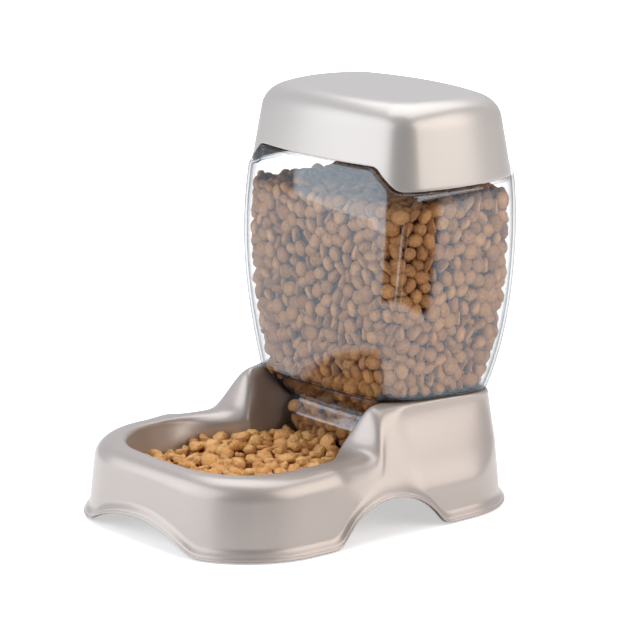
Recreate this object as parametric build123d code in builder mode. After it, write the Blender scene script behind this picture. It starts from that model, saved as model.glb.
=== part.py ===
"""Gravity pet feeder: a moulded base with a bowl, a clear lift-off hopper, a lid and rubber feet.

Units are millimetres. +Z is up and -Y is the front, where the bowl is. The origin lies on the floor,
under the middle of the feeder. Distances along the feeder (front, rear, set_back) are measured from
the front edge of the base's lip.
"""
from build123d import *
import math
import os

# Base: plan of the lip, which is the outermost edge of the skirt
BASE_LENGTH = 276.0
BASE_FRONT_WIDTH = 213.0
BASE_REAR_WIDTH = 223.0
BASE_FRONT_CORNER = 72.0
BASE_REAR_CORNER = 60.0
BASE_BOW = 2.5  # outward bow of the four sides

# Base: skirt, lip and wall
FLOOR_GAP = 1.0  # height of the skirt above the floor, carried by the feet
BASE_WALL = 2.5
LIP_REACH = 3.6  # how far the lip stands out from the skirt
LIP_HEIGHT = 3.0
SKIRT_LEAN = 9.5  # how far the front and the sides lean in over the full height
REAR_LEAN = 6.5
RIM_ROUND = 7.0  # rounding of the upper outer edges
FACING_UP = 0.3  # least upward part of the normal of a top face
FACING_ALONG = 0.001  # greatest sideways part of that normal

# Base: bowl rim, step up to the hopper's seat, and the seat's slope to the rear
RIM_HEIGHT = 53.5
STEP_RISE = 29.5
STEP_RUN = 15.0
STEP_ROUND = 12.0
STEP_MARGIN = 2.8  # from the head of the step to the hopper's bottom
SEAT_FALL = 0.05  # drop of the seat per millimetre of length

# Base: the narrower waist that carries the hopper
WAIST_MARGIN = 2.5  # how far the waist stands out beside the hopper's bottom
WAIST_LEAD = 21.2  # how far the waist begins in front of the step
WAIST_FOOT_HEIGHT = 20.0
WAIST_FOOT_FRONT_INSET = 2.15  # how far the waist's foot lies inside the lip at its front end
WAIST_FOOT_REAR_INSET = 5.0  # the same at the rear
WAIST_BLEND = 18.0  # concave blend from the bowl's side into the waist
WAIST_CORNER = 24.0  # rounding of the rear corners of the waist
WAIST_SWELL = 0.36  # share of the waist's height over which its foot stays upright
WAIST_DRAW = 0.5  # share of the waist's height below which its upper part has drawn in

# Base: bowl
BOWL_SET_BACK = 33.0
BOWL_WIDTH = 148.0
BOWL_BOW = 5.0
BOWL_FRONT_CORNER = 58.0
BOWL_CORNER = 42.0  # where the sides turn in to the throat
BOWL_FLOOR = 14.0
BOWL_LEAN = 9.0
BOWL_FLARE = 5.0  # bevel around the mouth of the bowl

# Base: arches in the skirt, which are also the hand holds
END_ARCH_WIDTH = 116.0
END_ARCH_HEIGHT = 15.5
SIDE_ARCH_WIDTH = 91.0
SIDE_ARCH_HEIGHT = 26.5
SIDE_ARCH_SHIFT = 2.5  # how far the side arches lie behind the middle of the base
ARCH_ROUND = 9.0  # rounding of the corners where an arch meets the floor
ARCH_DEPTH = 24.0

# Throat, through which the food runs from the hopper to the bowl, and its ramp
THROAT_LEAD = 29.7  # from where the bowl's sides turn in to the throat to the foot of the step
THROAT_WIDTH = 98.0  # at the spout
THROAT_FLARE = 12.0  # how far each side leans out towards the tops of the horns
RAMP_LEAD = 26.0  # how far the ramp begins in front of the neck
RAMP_CLEARANCE = 8.0  # between the neck and the top of the ramp
FUNNEL_MARGIN = 3.0  # ledge left around the funnel under the hopper's neck

# Hopper: clear body, as plan sections from its bottom up to the lid
HOPPER_WALL = 2.0
HOPPER_BOW = 6.0
HOPPER_CORNER = 30.0
HOPPER_REAR_MARGIN = 7.0  # from the rear edge of the base's lip to the hopper's bottom
BOTTOM_WIDTH = 152.0
BOTTOM_DEPTH = 111.5
BOTTOM_SINK = 11.0  # how far the lowest section lies below the seat
LOWER_RISE = 32.0  # height of the lower section above the seat
LOWER_WIDTH = 165.0
LOWER_FRONT_REACH = 3.5  # how far a section stands out in front of the bottom
LOWER_REAR_REACH = 11.5  # how far a section stands out behind the bottom
BULGE_RISE = 97.0
BULGE_WIDTH = 182.0
BULGE_FRONT_REACH = 6.5
BULGE_REAR_REACH = 18.0
SEAM_GAP = 0.3  # between the hopper's underside and the seat

# Hopper: tapered neck in the seat, with the sloping front wall and the spout
NECK_INSET = 4.0
NECK_DEPTH = 21.0  # how far the neck reaches below the seat
NECK_TAPER = 8.0  # how far the neck draws in towards its lower edge
NECK_SLOPE = 18.5  # how far the front wall slopes back towards the neck's lower edge
NECK_CORNER = 22.0
NECK_BOW = 3.0
NECK_CLEARANCE = 0.5
NECK_FOOT_GAP = 0.5  # under the neck's lower edge
SPOUT_CLEARANCE = 1.5  # to each side of the throat
SPOUT_REACH = 8.0  # from the neck's lower edge forward to the nose
SPOUT_DROP = 9.0
SPOUT_LIP = 10.5  # height of the upright lip under the nose

# Lid
LID_EDGE_RISE = 144.0  # lower edge at the sides, above the seat
LID_SIDE = 62.0
LID_WIDTH = 182.0
LID_FRONT_REACH = 3.5
LID_REAR_REACH = 18.0
LID_CORNER = 40.0
LID_LEAN = 9.5
LID_ROUND = 20.0
LID_WALL = 2.4
LID_GAP = 0.8  # shadow gap between the lid's edge and the hopper's shoulder
LID_CLEARANCE = 0.5
SCOOP_HEIGHT = 19.5  # how far the front and rear edges rise above the side edges
SCOOP_WIDTH = 124.0
SCOOP_RUN = 16.0
SCOOP_ROUND = 8.0
COLLAR_RISE = 35.0  # how far the hopper's collar reaches into the lid
COLLAR_SEAT = 2.6  # width of the ledge in the lid that rests on the collar
COLLAR_SEAT_GAP = 0.3

# Feet
FOOT_RADIUS = 9.0
FOOT_STEM_RADIUS = 3.0
FOOT_STEM_CLEARANCE = 0.1
FOOT_PAD_HEIGHT = 3.0
FOOT_MARGIN = 4.0  # between the pad and the inside of the skirt
FOOT_TAB_RADIUS = 18.0
FOOT_TAB_HEIGHT = 2.5

# Food
FOOD_CLEARANCE = 0.5
FOOD_HEADSPACE = 4.0  # from the food's level in the hopper to the lid's lower edge
HEAP_FRONT_DEPTH = 17.5  # from the bowl's rim down to the food at the front
HEAP_THROAT_GAP = 1.5  # from the spout's lip down to the food
LUMP_RADIUS = 10.5  # lumps that stand for the pieces of dry food at the surface
LUMP_HEIGHT = 4.0  # how far a lump stands out of the food's core

# Heights that follow from the sizes above
SEAT_HEIGHT = RIM_HEIGHT + STEP_RISE
BLOCK_TOP = SEAT_HEIGHT + FLOOR_GAP
BOTTOM_HEIGHT = SEAT_HEIGHT - BOTTOM_SINK
LOWER_HEIGHT = SEAT_HEIGHT + LOWER_RISE
BULGE_HEIGHT = SEAT_HEIGHT + BULGE_RISE
LID_EDGE = SEAT_HEIGHT + LID_EDGE_RISE
LID_HEIGHT = LID_EDGE + LID_SIDE
COLLAR_HEIGHT = LID_EDGE + COLLAR_RISE
NECK_HEIGHT = SEAT_HEIGHT - NECK_DEPTH
NECK_TOP = SEAT_HEIGHT + 2 * HOPPER_WALL
SPOUT_NOSE_HEIGHT = NECK_HEIGHT - SPOUT_DROP
SPOUT_LIP_HEIGHT = SPOUT_NOSE_HEIGHT - SPOUT_LIP
RAMP_REAR_HEIGHT = NECK_HEIGHT - RAMP_CLEARANCE
FOOD_LEVEL = LID_EDGE - FOOD_HEADSPACE
HEAP_FRONT_HEIGHT = RIM_HEIGHT - HEAP_FRONT_DEPTH
HEAP_THROAT_HEIGHT = SPOUT_LIP_HEIGHT - HEAP_THROAT_GAP
ABOVE = 2 * LID_HEIGHT  # clear of everything
LUMP_ROW = LUMP_RADIUS * math.sqrt(3)  # between two rows of lumps

# Set backs and widths that follow from the sizes above
BOTTOM_REAR = BASE_LENGTH - HOPPER_REAR_MARGIN
BOTTOM_FRONT = BOTTOM_REAR - BOTTOM_DEPTH
STEP_HEAD = BOTTOM_FRONT - STEP_MARGIN
STEP_FOOT = STEP_HEAD - STEP_RUN
WAIST_START = STEP_FOOT - WAIST_LEAD
WAIST_WIDTH = BOTTOM_WIDTH + 2 * WAIST_MARGIN
THROAT_FRONT = STEP_FOOT - THROAT_LEAD
NECK_FRONT = BOTTOM_FRONT + NECK_SLOPE
NECK_REAR = BOTTOM_REAR - NECK_INSET - NECK_TAPER
NECK_WIDTH = BOTTOM_WIDTH - 2 * NECK_INSET
RAMP_FOOT = NECK_FRONT - RAMP_LEAD
SPOUT_NOSE = NECK_FRONT - SPOUT_REACH
SPOUT_BACK = NECK_FRONT + HOPPER_WALL
SPOUT_HALF = THROAT_WIDTH / 2 - SPOUT_CLEARANCE
SIDE_ARCH_SET_BACK = BASE_LENGTH / 2 + SIDE_ARCH_SHIFT
FEEDER_LENGTH = max(BOTTOM_REAR + BULGE_REAR_REACH, BASE_LENGTH)
FRONT_Y = -FEEDER_LENGTH / 2
FAR = FEEDER_LENGTH  # clear of everything
SEAT_REAR_HEIGHT = SEAT_HEIGHT - SEAT_FALL * (FAR - STEP_HEAD)


def place(set_back):
    """Y of a distance measured from the front lip."""
    return FRONT_Y + set_back


def outline(height, front, rear, front_width, rear_width, front_corner, rear_corner, bow, grow=0.0):
    """Plan outline at a height: four bowed sides with rounded corners, moved outward by grow."""
    front_y = place(front) - grow
    rear_y = place(rear) + grow
    front_x = front_width / 2 + grow - bow
    rear_x = rear_width / 2 + grow - bow
    middle_x = (front_x + rear_x) / 2 + bow
    middle_y = (front_y + rear_y) / 2
    with BuildSketch(Plane.XY.offset(height)) as plan:
        with BuildLine():
            ThreePointArc((-front_x, front_y + bow), (0, front_y), (front_x, front_y + bow))
            ThreePointArc((front_x, front_y + bow), (middle_x, middle_y), (rear_x, rear_y - bow))
            ThreePointArc((rear_x, rear_y - bow), (0, rear_y), (-rear_x, rear_y - bow))
            ThreePointArc((-rear_x, rear_y - bow), (-middle_x, middle_y), (-front_x, front_y + bow))
        make_face()
        fillet(plan.vertices().sort_by(Axis.Y)[-2:], rear_corner + grow)
        fillet(plan.vertices().sort_by(Axis.Y)[:2], front_corner + grow)
    return plan.sketch


def base_outline(height, lean, rear_lean, grow):
    """Outline of the base's lip, drawn in by lean and moved outward by grow."""
    return outline(
        height,
        lean,
        BASE_LENGTH - rear_lean,
        BASE_FRONT_WIDTH - 2 * lean,
        BASE_REAR_WIDTH - 2 * lean,
        BASE_FRONT_CORNER - lean,
        BASE_REAR_CORNER - lean,
        BASE_BOW,
        grow,
    )


def leaning_block(grow, bottom=FLOOR_GAP):
    """The skirt's outline carried up to the seat's height, leaning in on all sides."""
    with BuildPart() as block:
        loft([base_outline(bottom, 0, 0, grow), base_outline(BLOCK_TOP, SKIRT_LEAN, REAR_LEAN, grow)])
    return block.part


def waist_profile(set_back, foot_inset, inset):
    """Upright section, at a set back, of what is taken off the right-hand side to leave the waist."""
    lip_width = BASE_FRONT_WIDTH + (BASE_REAR_WIDTH - BASE_FRONT_WIDTH) * set_back / BASE_LENGTH
    foot = (lip_width / 2 - foot_inset - inset, WAIST_FOOT_HEIGHT)
    head = (WAIST_WIDTH / 2 - inset, BLOCK_TOP + BASE_WALL)
    side = BASE_FRONT_WIDTH + BASE_REAR_WIDTH
    rise = head[1] - foot[1]
    lower_pull = (foot[0] - BASE_WALL, foot[1] + rise * WAIST_SWELL)
    upper_pull = (head[0], foot[1] + rise * WAIST_DRAW)
    with BuildSketch(Plane.XZ.offset(-place(set_back))) as profile:
        with BuildLine():
            Bezier(foot, lower_pull, upper_pull, head)
            Polyline(head, (side, head[1]), (side, foot[1]), foot)
        make_face()
    return profile.sketch


def waist_cutter(inset):
    """What is taken off both sides of the block behind the bowl to leave the waist."""
    with BuildPart() as cutter:
        loft([
            waist_profile(WAIST_START - inset, WAIST_FOOT_FRONT_INSET, inset),
            waist_profile(BASE_LENGTH, WAIST_FOOT_REAR_INSET, inset),
        ])
        fillet(cutter.edges().filter_by(GeomType.LINE, reverse=True).sort_by(Axis.Y)[0], WAIST_BLEND + inset)
        mirror(about=Plane.YZ)
    return cutter.part


def above_profile(drop):
    """Everything above the side profile: the bowl's rim, the step and the sloping seat."""
    rim = RIM_HEIGHT - drop
    with BuildPart() as cutter:
        with BuildSketch(Plane.YZ):
            with BuildLine():
                FilletPolyline(
                    (place(-FAR), rim),
                    (place(STEP_FOOT), rim),
                    (place(STEP_HEAD), SEAT_HEIGHT - drop),
                    (place(FAR), SEAT_REAR_HEIGHT - drop),
                    radius=STEP_ROUND,
                )
                Polyline(
                    (place(FAR), SEAT_REAR_HEIGHT - drop),
                    (place(FAR), ABOVE),
                    (place(-FAR), ABOVE),
                    (place(-FAR), rim),
                )
            make_face()
        extrude(amount=FAR, both=True)
    return cutter.part


def faces_top(face):
    """Whether a face of the base is a part of its rim, step or seat."""
    normal = face.normal_at()
    return normal.Z > FACING_UP and abs(normal.X) < FACING_ALONG


def base_form(inset, bottom=FLOOR_GAP):
    """Outer form of the base without bowl, arches and lip, drawn in by inset."""
    with BuildPart() as form:
        add(leaning_block(-LIP_REACH - inset, bottom))
        add(waist_cutter(inset), mode=Mode.SUBTRACT)
        upright = form.edges().filter_by(lambda e: e.bounding_box().size.Z > SEAT_HEIGHT / 2)
        rear = upright.filter_by(lambda e: e.center().Y > place(BASE_LENGTH - BASE_REAR_CORNER))
        waist = rear.filter_by(lambda e: e.bounding_box().min.Z > WAIST_FOOT_HEIGHT / 2)
        fillet(waist, WAIST_CORNER - inset)
        add(above_profile(inset), mode=Mode.SUBTRACT)
        top_edges = form.faces().filter_by(faces_top).edges()
        fillet([e for e in top_edges if top_edges.count(e) == 1], RIM_ROUND - inset)
    return form.part


def bowl_outline(height, grow):
    """Outline of the bowl's mouth at a height, moved outward by grow."""
    rear = THROAT_FRONT + BOWL_CORNER
    width = BOWL_WIDTH
    return outline(
        height, BOWL_SET_BACK, rear, width, width, BOWL_FRONT_CORNER, BOWL_CORNER, BOWL_BOW, grow
    )


def bowl_space(grow):
    """Space of the bowl, open upwards."""
    mouth = bowl_outline(RIM_HEIGHT, grow)
    with BuildPart() as space:
        loft([bowl_outline(BOWL_FLOOR - grow, grow - BOWL_LEAN), mouth])
        extrude(mouth, amount=SEAT_HEIGHT)
        bevel_height = RIM_HEIGHT - BOWL_FLARE - grow
        loft([bowl_outline(bevel_height, grow), bowl_outline(RIM_HEIGHT, grow + BOWL_FLARE)])
    return space.part


def over_ramp(grow):
    """Everything over the bowl's floor and the ramp that rises from it to the rear."""
    floor = BOWL_FLOOR - grow
    with BuildPart() as space:
        with BuildSketch(Plane.YZ):
            with BuildLine():
                Polyline(
                    (place(THROAT_FRONT), floor),
                    (place(RAMP_FOOT), floor),
                    (place(NECK_REAR), RAMP_REAR_HEIGHT - grow),
                    (place(NECK_REAR), ABOVE),
                    (place(THROAT_FRONT), ABOVE),
                    close=True,
                )
            make_face()
        extrude(amount=FAR, both=True)
    return space.part


def throat_space(grow):
    """Slot between the horns of the base, from the bowl to the hopper's neck, wider at the top."""
    half = THROAT_WIDTH / 2 + grow
    top_half = half + THROAT_FLARE
    with BuildPart() as space:
        with BuildSketch(Plane.XZ.offset(-place(THROAT_FRONT))):
            with BuildLine():
                Polyline(
                    (-half, 0),
                    (half, 0),
                    (half, SPOUT_NOSE_HEIGHT),
                    (top_half, SEAT_HEIGHT),
                    (top_half, ABOVE),
                    (-top_half, ABOVE),
                    (-top_half, SEAT_HEIGHT),
                    (-half, SPOUT_NOSE_HEIGHT),
                    close=True,
                )
            make_face()
        extrude(amount=THROAT_FRONT - NECK_FRONT - NECK_CORNER)
        add(over_ramp(grow), mode=Mode.INTERSECT)
    return space.part


def neck_outline(height, grow):
    """Outline of the tapered neck at a height."""
    share = (height - NECK_HEIGHT) / (NECK_TOP - NECK_HEIGHT)
    width = NECK_WIDTH - 2 * NECK_TAPER * (1 - share)
    front = NECK_FRONT + (BOTTOM_FRONT - NECK_FRONT) * share
    rear = NECK_REAR + NECK_TAPER * share
    return outline(height, front, rear, width, width, NECK_CORNER, NECK_CORNER, NECK_BOW, grow)


def neck_block(grow, bottom=NECK_HEIGHT):
    """The neck as a solid block."""
    with BuildPart() as block:
        loft([neck_outline(bottom, grow), neck_outline(NECK_TOP, grow)])
    return block.part


def funnel_space(grow):
    """Space under the neck down to the ramp."""
    with BuildPart() as space:
        extrude(neck_outline(NECK_HEIGHT, grow - FUNNEL_MARGIN), amount=-NECK_HEIGHT)
        add(over_ramp(grow), mode=Mode.INTERSECT)
    return space.part


def arch_profile(plane, width, height, grow):
    """An arch with the floor to both sides of it, on an upright plane, enlarged by grow."""
    radius = (width * width / 4 + height * height) / (2 * height)
    with BuildSketch(plane) as arch:
        with Locations((0, FLOOR_GAP + height - radius)):
            Circle(radius + grow)
        with Locations((0, FLOOR_GAP + grow)):
            Rectangle(2 * width, height, align=(Align.CENTER, Align.MAX))
        corners = arch.vertices().group_by(Axis.Y)[-1].sort_by(Axis.X)[1:-1]
        fillet(corners, ARCH_ROUND - grow)
    return arch.sketch


def arch_space(grow):
    """The four arches of the skirt, enlarged by grow."""
    side = BASE_REAR_WIDTH / 2
    middle = place(SIDE_ARCH_SET_BACK)
    with BuildPart() as space:
        for end in (place(0), place(BASE_LENGTH)):
            end_plane = Plane.XZ.offset(-end)
            extrude(arch_profile(end_plane, END_ARCH_WIDTH, END_ARCH_HEIGHT, grow), ARCH_DEPTH, both=True)
        for x in (-side, side):
            side_plane = Plane((x, middle, 0), x_dir=(0, 1, 0), z_dir=(1, 0, 0))
            extrude(arch_profile(side_plane, SIDE_ARCH_WIDTH, SIDE_ARCH_HEIGHT, grow), ARCH_DEPTH, both=True)
    return space.part


def lip_ring():
    """Lip around the skirt, following its lower edge over the arches."""
    with BuildPart() as band:
        with Locations((0, 0, FLOOR_GAP + LIP_HEIGHT / 2)):
            Box(2 * FAR, 2 * FAR, LIP_HEIGHT)
        add(arch_space(LIP_HEIGHT))
        add(arch_space(0), mode=Mode.SUBTRACT)
    with BuildPart() as ring:
        add(leaning_block(0))
        add(leaning_block(-LIP_REACH - BASE_WALL / 2), mode=Mode.SUBTRACT)
        add(band.part, mode=Mode.INTERSECT)
    return ring.part


def foot_places():
    """Name and centre of each foot, in the four corners of the skirt."""
    ends = {
        "front": (BASE_FRONT_WIDTH, BASE_FRONT_CORNER, BASE_FRONT_CORNER, -1),
        "rear": (BASE_REAR_WIDTH, BASE_REAR_CORNER, BASE_LENGTH - BASE_REAR_CORNER, 1),
    }
    places = {}
    for end, (width, corner, set_back, toward) in ends.items():
        reach = (corner - LIP_REACH - BASE_WALL - FOOT_MARGIN - FOOT_RADIUS) * math.sqrt(0.5)
        for side, sign in (("left", -1), ("right", 1)):
            x = sign * (width / 2 - corner + reach)
            places[f"foot_{end}_{side}"] = (x, place(set_back) + toward * reach)
    return places


def section(height, width, front_reach, rear_reach, corner, grow):
    """Outline of the hopper or the lid at a height, standing out around the hopper's bottom."""
    front = BOTTOM_FRONT - front_reach
    rear = BOTTOM_REAR + rear_reach
    return outline(height, front, rear, width, width, corner, corner, HOPPER_BOW, grow)


def body_block(grow):
    """The hopper's bulging body as a solid block, carried on upwards into the lid's outline."""
    with BuildPart() as block:
        loft([
            section(BOTTOM_HEIGHT, BOTTOM_WIDTH, 0, 0, HOPPER_CORNER, grow),
            section(LOWER_HEIGHT, LOWER_WIDTH, LOWER_FRONT_REACH, LOWER_REAR_REACH, HOPPER_CORNER, grow),
            section(BULGE_HEIGHT, BULGE_WIDTH, BULGE_FRONT_REACH, BULGE_REAR_REACH, HOPPER_CORNER, grow),
            lid_outline(LID_EDGE, grow),
            lid_outline(COLLAR_HEIGHT, grow),
        ])
    return block.part


def lid_outline(height, grow):
    """Outline of the lid's outside at a height."""
    lean = LID_LEAN * (height - LID_EDGE) / LID_SIDE
    reaches = (LID_FRONT_REACH - lean, LID_REAR_REACH - lean)
    return section(height, LID_WIDTH - 2 * lean, *reaches, LID_CORNER - lean, grow)


def lid_block(grow, bottom, top):
    """The lid's outline as a solid block between two heights."""
    with BuildPart() as block:
        loft([lid_outline(bottom, grow), lid_outline(top, grow)])
    return block.part


def below_seat(lift):
    """Everything below a plane that lies above the seat by lift."""
    fall = SEAT_FALL * (FAR + STEP_HEAD)
    with BuildPart() as space:
        with BuildSketch(Plane.YZ):
            with BuildLine():
                Polyline(
                    (place(-FAR), SEAT_HEIGHT + fall + lift),
                    (place(FAR), SEAT_REAR_HEIGHT + lift),
                    (place(FAR), -ABOVE),
                    (place(-FAR), -ABOVE),
                    close=True,
                )
            make_face()
        extrude(amount=FAR, both=True)
    return space.part


def above_lid_edge(drop):
    """Everything above the lid's lower edge, scooped up at the front and the rear, lowered by drop."""
    low = LID_EDGE - drop
    high = low + SCOOP_HEIGHT
    head = SCOOP_WIDTH / 2
    foot = head + SCOOP_RUN
    with BuildPart() as space:
        with BuildSketch(Plane.XZ):
            with BuildLine():
                FilletPolyline(
                    (-FAR, low), (-foot, low), (-head, high), (head, high), (foot, low), (FAR, low),
                    radius=SCOOP_ROUND,
                )
                Polyline((FAR, low), (FAR, ABOVE), (-FAR, ABOVE), (-FAR, low))
            make_face()
        extrude(amount=FAR, both=True)
    return space.part


def spout_block(inset, back):
    """The spout under the neck's front wall, a sloping shelf, a nose and a short lip, as far as back."""
    shelf = NECK_HEIGHT + HOPPER_WALL - inset
    nose = SPOUT_NOSE + inset
    lip = SPOUT_LIP_HEIGHT - inset
    with BuildPart() as block:
        with BuildSketch(Plane.YZ):
            with BuildLine():
                Polyline(
                    (place(back), shelf),
                    (place(NECK_FRONT), shelf),
                    (place(nose), SPOUT_NOSE_HEIGHT),
                    (place(nose), lip),
                    (place(back), lip),
                    close=True,
                )
            make_face()
        extrude(amount=SPOUT_HALF - inset, both=True)
    return block.part


def heap_cutter():
    """Everything above the food in the bowl, which rises to the throat and fills the funnel."""
    step = SPOUT_BACK + FUNNEL_MARGIN
    under_neck = NECK_HEIGHT - NECK_FOOT_GAP - FOOD_CLEARANCE
    with BuildPart() as cutter:
        with BuildSketch(Plane.YZ):
            with BuildLine():
                Polyline(
                    (place(0), HEAP_FRONT_HEIGHT),
                    (place(BOWL_SET_BACK), HEAP_FRONT_HEIGHT),
                    (place(SPOUT_NOSE), HEAP_THROAT_HEIGHT),
                    (place(step), HEAP_THROAT_HEIGHT),
                    (place(step), under_neck),
                    (place(FAR), under_neck),
                    (place(FAR), ABOVE),
                    (place(0), ABOVE),
                    close=True,
                )
            make_face()
        extrude(amount=FAR, both=True)
    return cutter.part


def lumps_around(block, low, high):
    """Centres of lumps around a block in staggered level rows between two heights."""
    centres = []
    for row in range(math.floor((high - low) / LUMP_ROW) + 1):
        ring = block.intersect(Plane.XY.offset(low + row * LUMP_ROW)).faces()[0].outer_wire()
        count = math.floor(ring.length / (2 * LUMP_RADIUS))
        centres += [ring.position_at((index + row % 2 / 2) / count) for index in range(count)]
    return centres


def lumps_over(plan):
    """Centres of lumps over a level outline, in staggered rows."""
    box = plan.bounding_box()
    centres = []
    for row in range(math.floor(box.size.Y / LUMP_ROW) + 1):
        for column in range(math.floor(box.size.X / (2 * LUMP_RADIUS)) + 1):
            x = box.min.X + (2 * column + row % 2) * LUMP_RADIUS
            centres.append(Vector(x, box.min.Y + row * LUMP_ROW, box.min.Z))
    return [centre for centre in centres if plan.face().is_inside(centre)]


# Base: one hollow moulding with bowl, horns, seat, arches, lip and the tabs for the feet
with BuildPart() as underside:
    add(base_form(BASE_WALL, FLOOR_GAP - BASE_WALL))
    for space in (bowl_space, throat_space, funnel_space):
        add(space(BASE_WALL), mode=Mode.SUBTRACT)
    add(neck_block(BASE_WALL + NECK_CLEARANCE, NECK_HEIGHT - BASE_WALL), mode=Mode.SUBTRACT)

with BuildPart() as tabs:
    with Locations([(x, y, FOOT_PAD_HEIGHT + FOOT_TAB_HEIGHT / 2) for x, y in foot_places().values()]):
        Cylinder(FOOT_TAB_RADIUS, FOOT_TAB_HEIGHT)
    add(leaning_block(-LIP_REACH - BASE_WALL / 2), mode=Mode.INTERSECT)

with BuildPart() as base:
    add(base_form(0))
    add(underside.part, mode=Mode.SUBTRACT)
    for space in (bowl_space, throat_space, funnel_space):
        add(space(0), mode=Mode.SUBTRACT)
    add(neck_block(NECK_CLEARANCE, NECK_HEIGHT - NECK_FOOT_GAP), mode=Mode.SUBTRACT)
    add(lip_ring())
    add(tabs.part)
    add(arch_space(0), mode=Mode.SUBTRACT)
    with Locations([(x, y, FOOT_PAD_HEIGHT + FOOT_TAB_HEIGHT) for x, y in foot_places().values()]):
        Hole(FOOT_STEM_RADIUS + FOOT_STEM_CLEARANCE, FOOT_TAB_HEIGHT)
base.part.label = "base"

# Hopper: clear shell, open at the collar and at the neck, with the spout in front
with BuildPart() as hopper_inside:
    add(body_block(-HOPPER_WALL))
    add(below_seat(SEAM_GAP + HOPPER_WALL), mode=Mode.SUBTRACT)
    add(above_lid_edge(LID_GAP + HOPPER_WALL), mode=Mode.SUBTRACT)
    add(neck_block(-HOPPER_WALL, NECK_HEIGHT - HOPPER_WALL))
    add(lid_block(-LID_WALL - LID_CLEARANCE - HOPPER_WALL, BULGE_HEIGHT, COLLAR_HEIGHT + LID_WALL))
    add(spout_block(HOPPER_WALL, SPOUT_BACK + FUNNEL_MARGIN))

with BuildPart() as neck:
    add(neck_block(0))
    add(below_seat(SEAM_GAP + HOPPER_WALL), mode=Mode.INTERSECT)

with BuildPart() as collar:
    add(lid_block(-LID_WALL - LID_CLEARANCE, BULGE_HEIGHT, COLLAR_HEIGHT))
    add(above_lid_edge(LID_GAP + HOPPER_WALL), mode=Mode.INTERSECT)

with BuildPart() as hopper:
    add(body_block(0))
    add(below_seat(SEAM_GAP), mode=Mode.SUBTRACT)
    add(above_lid_edge(LID_GAP), mode=Mode.SUBTRACT)
    add(neck.part)
    add(collar.part)
    add(spout_block(0, SPOUT_BACK))
    add(hopper_inside.part, mode=Mode.SUBTRACT)
hopper.part.label = "hopper"

# Lid: cap over the hopper's collar, with a ledge inside that rests on the collar
with BuildPart() as lid_inside:
    add(lid_block(-LID_WALL - COLLAR_SEAT, LID_EDGE, LID_HEIGHT - LID_WALL))
    fillet(lid_inside.faces().sort_by(Axis.Z)[-1].edges(), LID_ROUND - LID_WALL)
    add(lid_block(-LID_WALL, LID_EDGE - LID_WALL, COLLAR_HEIGHT + COLLAR_SEAT_GAP))

with BuildPart() as lid:
    add(lid_block(0, LID_EDGE, LID_HEIGHT))
    fillet(lid.faces().sort_by(Axis.Z)[-1].edges(), LID_ROUND)
    add(lid_inside.part, mode=Mode.SUBTRACT)
    add(above_lid_edge(0), mode=Mode.INTERSECT)
lid.part.label = "lid"

# Food: closed solids that fill the hopper and the bowl
food_grow = -HOPPER_WALL - FOOD_CLEARANCE
with BuildPart() as food_in_hopper:
    add(body_block(food_grow - LUMP_HEIGHT))
    add(below_seat(SEAM_GAP - food_grow), mode=Mode.SUBTRACT)
    add(neck_block(food_grow))
    with Locations((0, 0, FOOD_LEVEL - LUMP_HEIGHT)):
        Box(2 * FAR, 2 * FAR, ABOVE, align=(Align.CENTER, Align.CENTER, Align.MIN), mode=Mode.SUBTRACT)
    lump_block = body_block(food_grow - LUMP_RADIUS)
    lump_floor = SEAT_HEIGHT + SEAM_GAP - food_grow + LUMP_RADIUS
    lump_level = FOOD_LEVEL - LUMP_RADIUS
    lump_plan = lid_outline(lump_level, food_grow - 3 * LUMP_RADIUS)
    with Locations(lumps_around(lump_block, lump_floor, lump_level) + lumps_over(lump_plan)):
        Sphere(LUMP_RADIUS)
food_in_hopper.part.label = "food_in_hopper"

with BuildPart() as food_in_bowl:
    for space in (bowl_space, throat_space, funnel_space):
        add(space(-FOOD_CLEARANCE))
    add(heap_cutter(), mode=Mode.SUBTRACT)
food_in_bowl.part.label = "food_in_bowl"

os.makedirs("parts", exist_ok=True)
for piece in (base, hopper, lid, food_in_hopper, food_in_bowl):
    export_step(piece.part, f"parts/{piece.part.label}.step")

# Feet: rubber pads with a stem through the base's tabs
for foot_name, (foot_x, foot_y) in foot_places().items():
    with BuildPart() as foot:
        with Locations((foot_x, foot_y, 0)):
            Cylinder(FOOT_RADIUS, FOOT_PAD_HEIGHT, align=(Align.CENTER, Align.CENTER, Align.MIN))
            stem_height = FOOT_PAD_HEIGHT + 2 * FOOT_TAB_HEIGHT
            Cylinder(FOOT_STEM_RADIUS, stem_height, align=(Align.CENTER, Align.CENTER, Align.MIN))
    foot.part.label = foot_name
    export_step(foot.part, f"parts/{foot_name}.step")
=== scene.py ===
"""Looks of a gravity pet feeder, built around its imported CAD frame.

Sizes are millimetres in the frame of the CAD: +Z is up and -Y is the front, where the bowl is. A surface is
a grid of points. Its columns run once around the feeder, from the middle of the front over the right-hand
side and the rear, and its rows run along the profile, so that the faces look outward.
"""
from __future__ import annotations

import logging
import math
from collections.abc import Mapping, Sequence
from dataclasses import dataclass, field, replace
from enum import Enum
from typing import Any, Union

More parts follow.
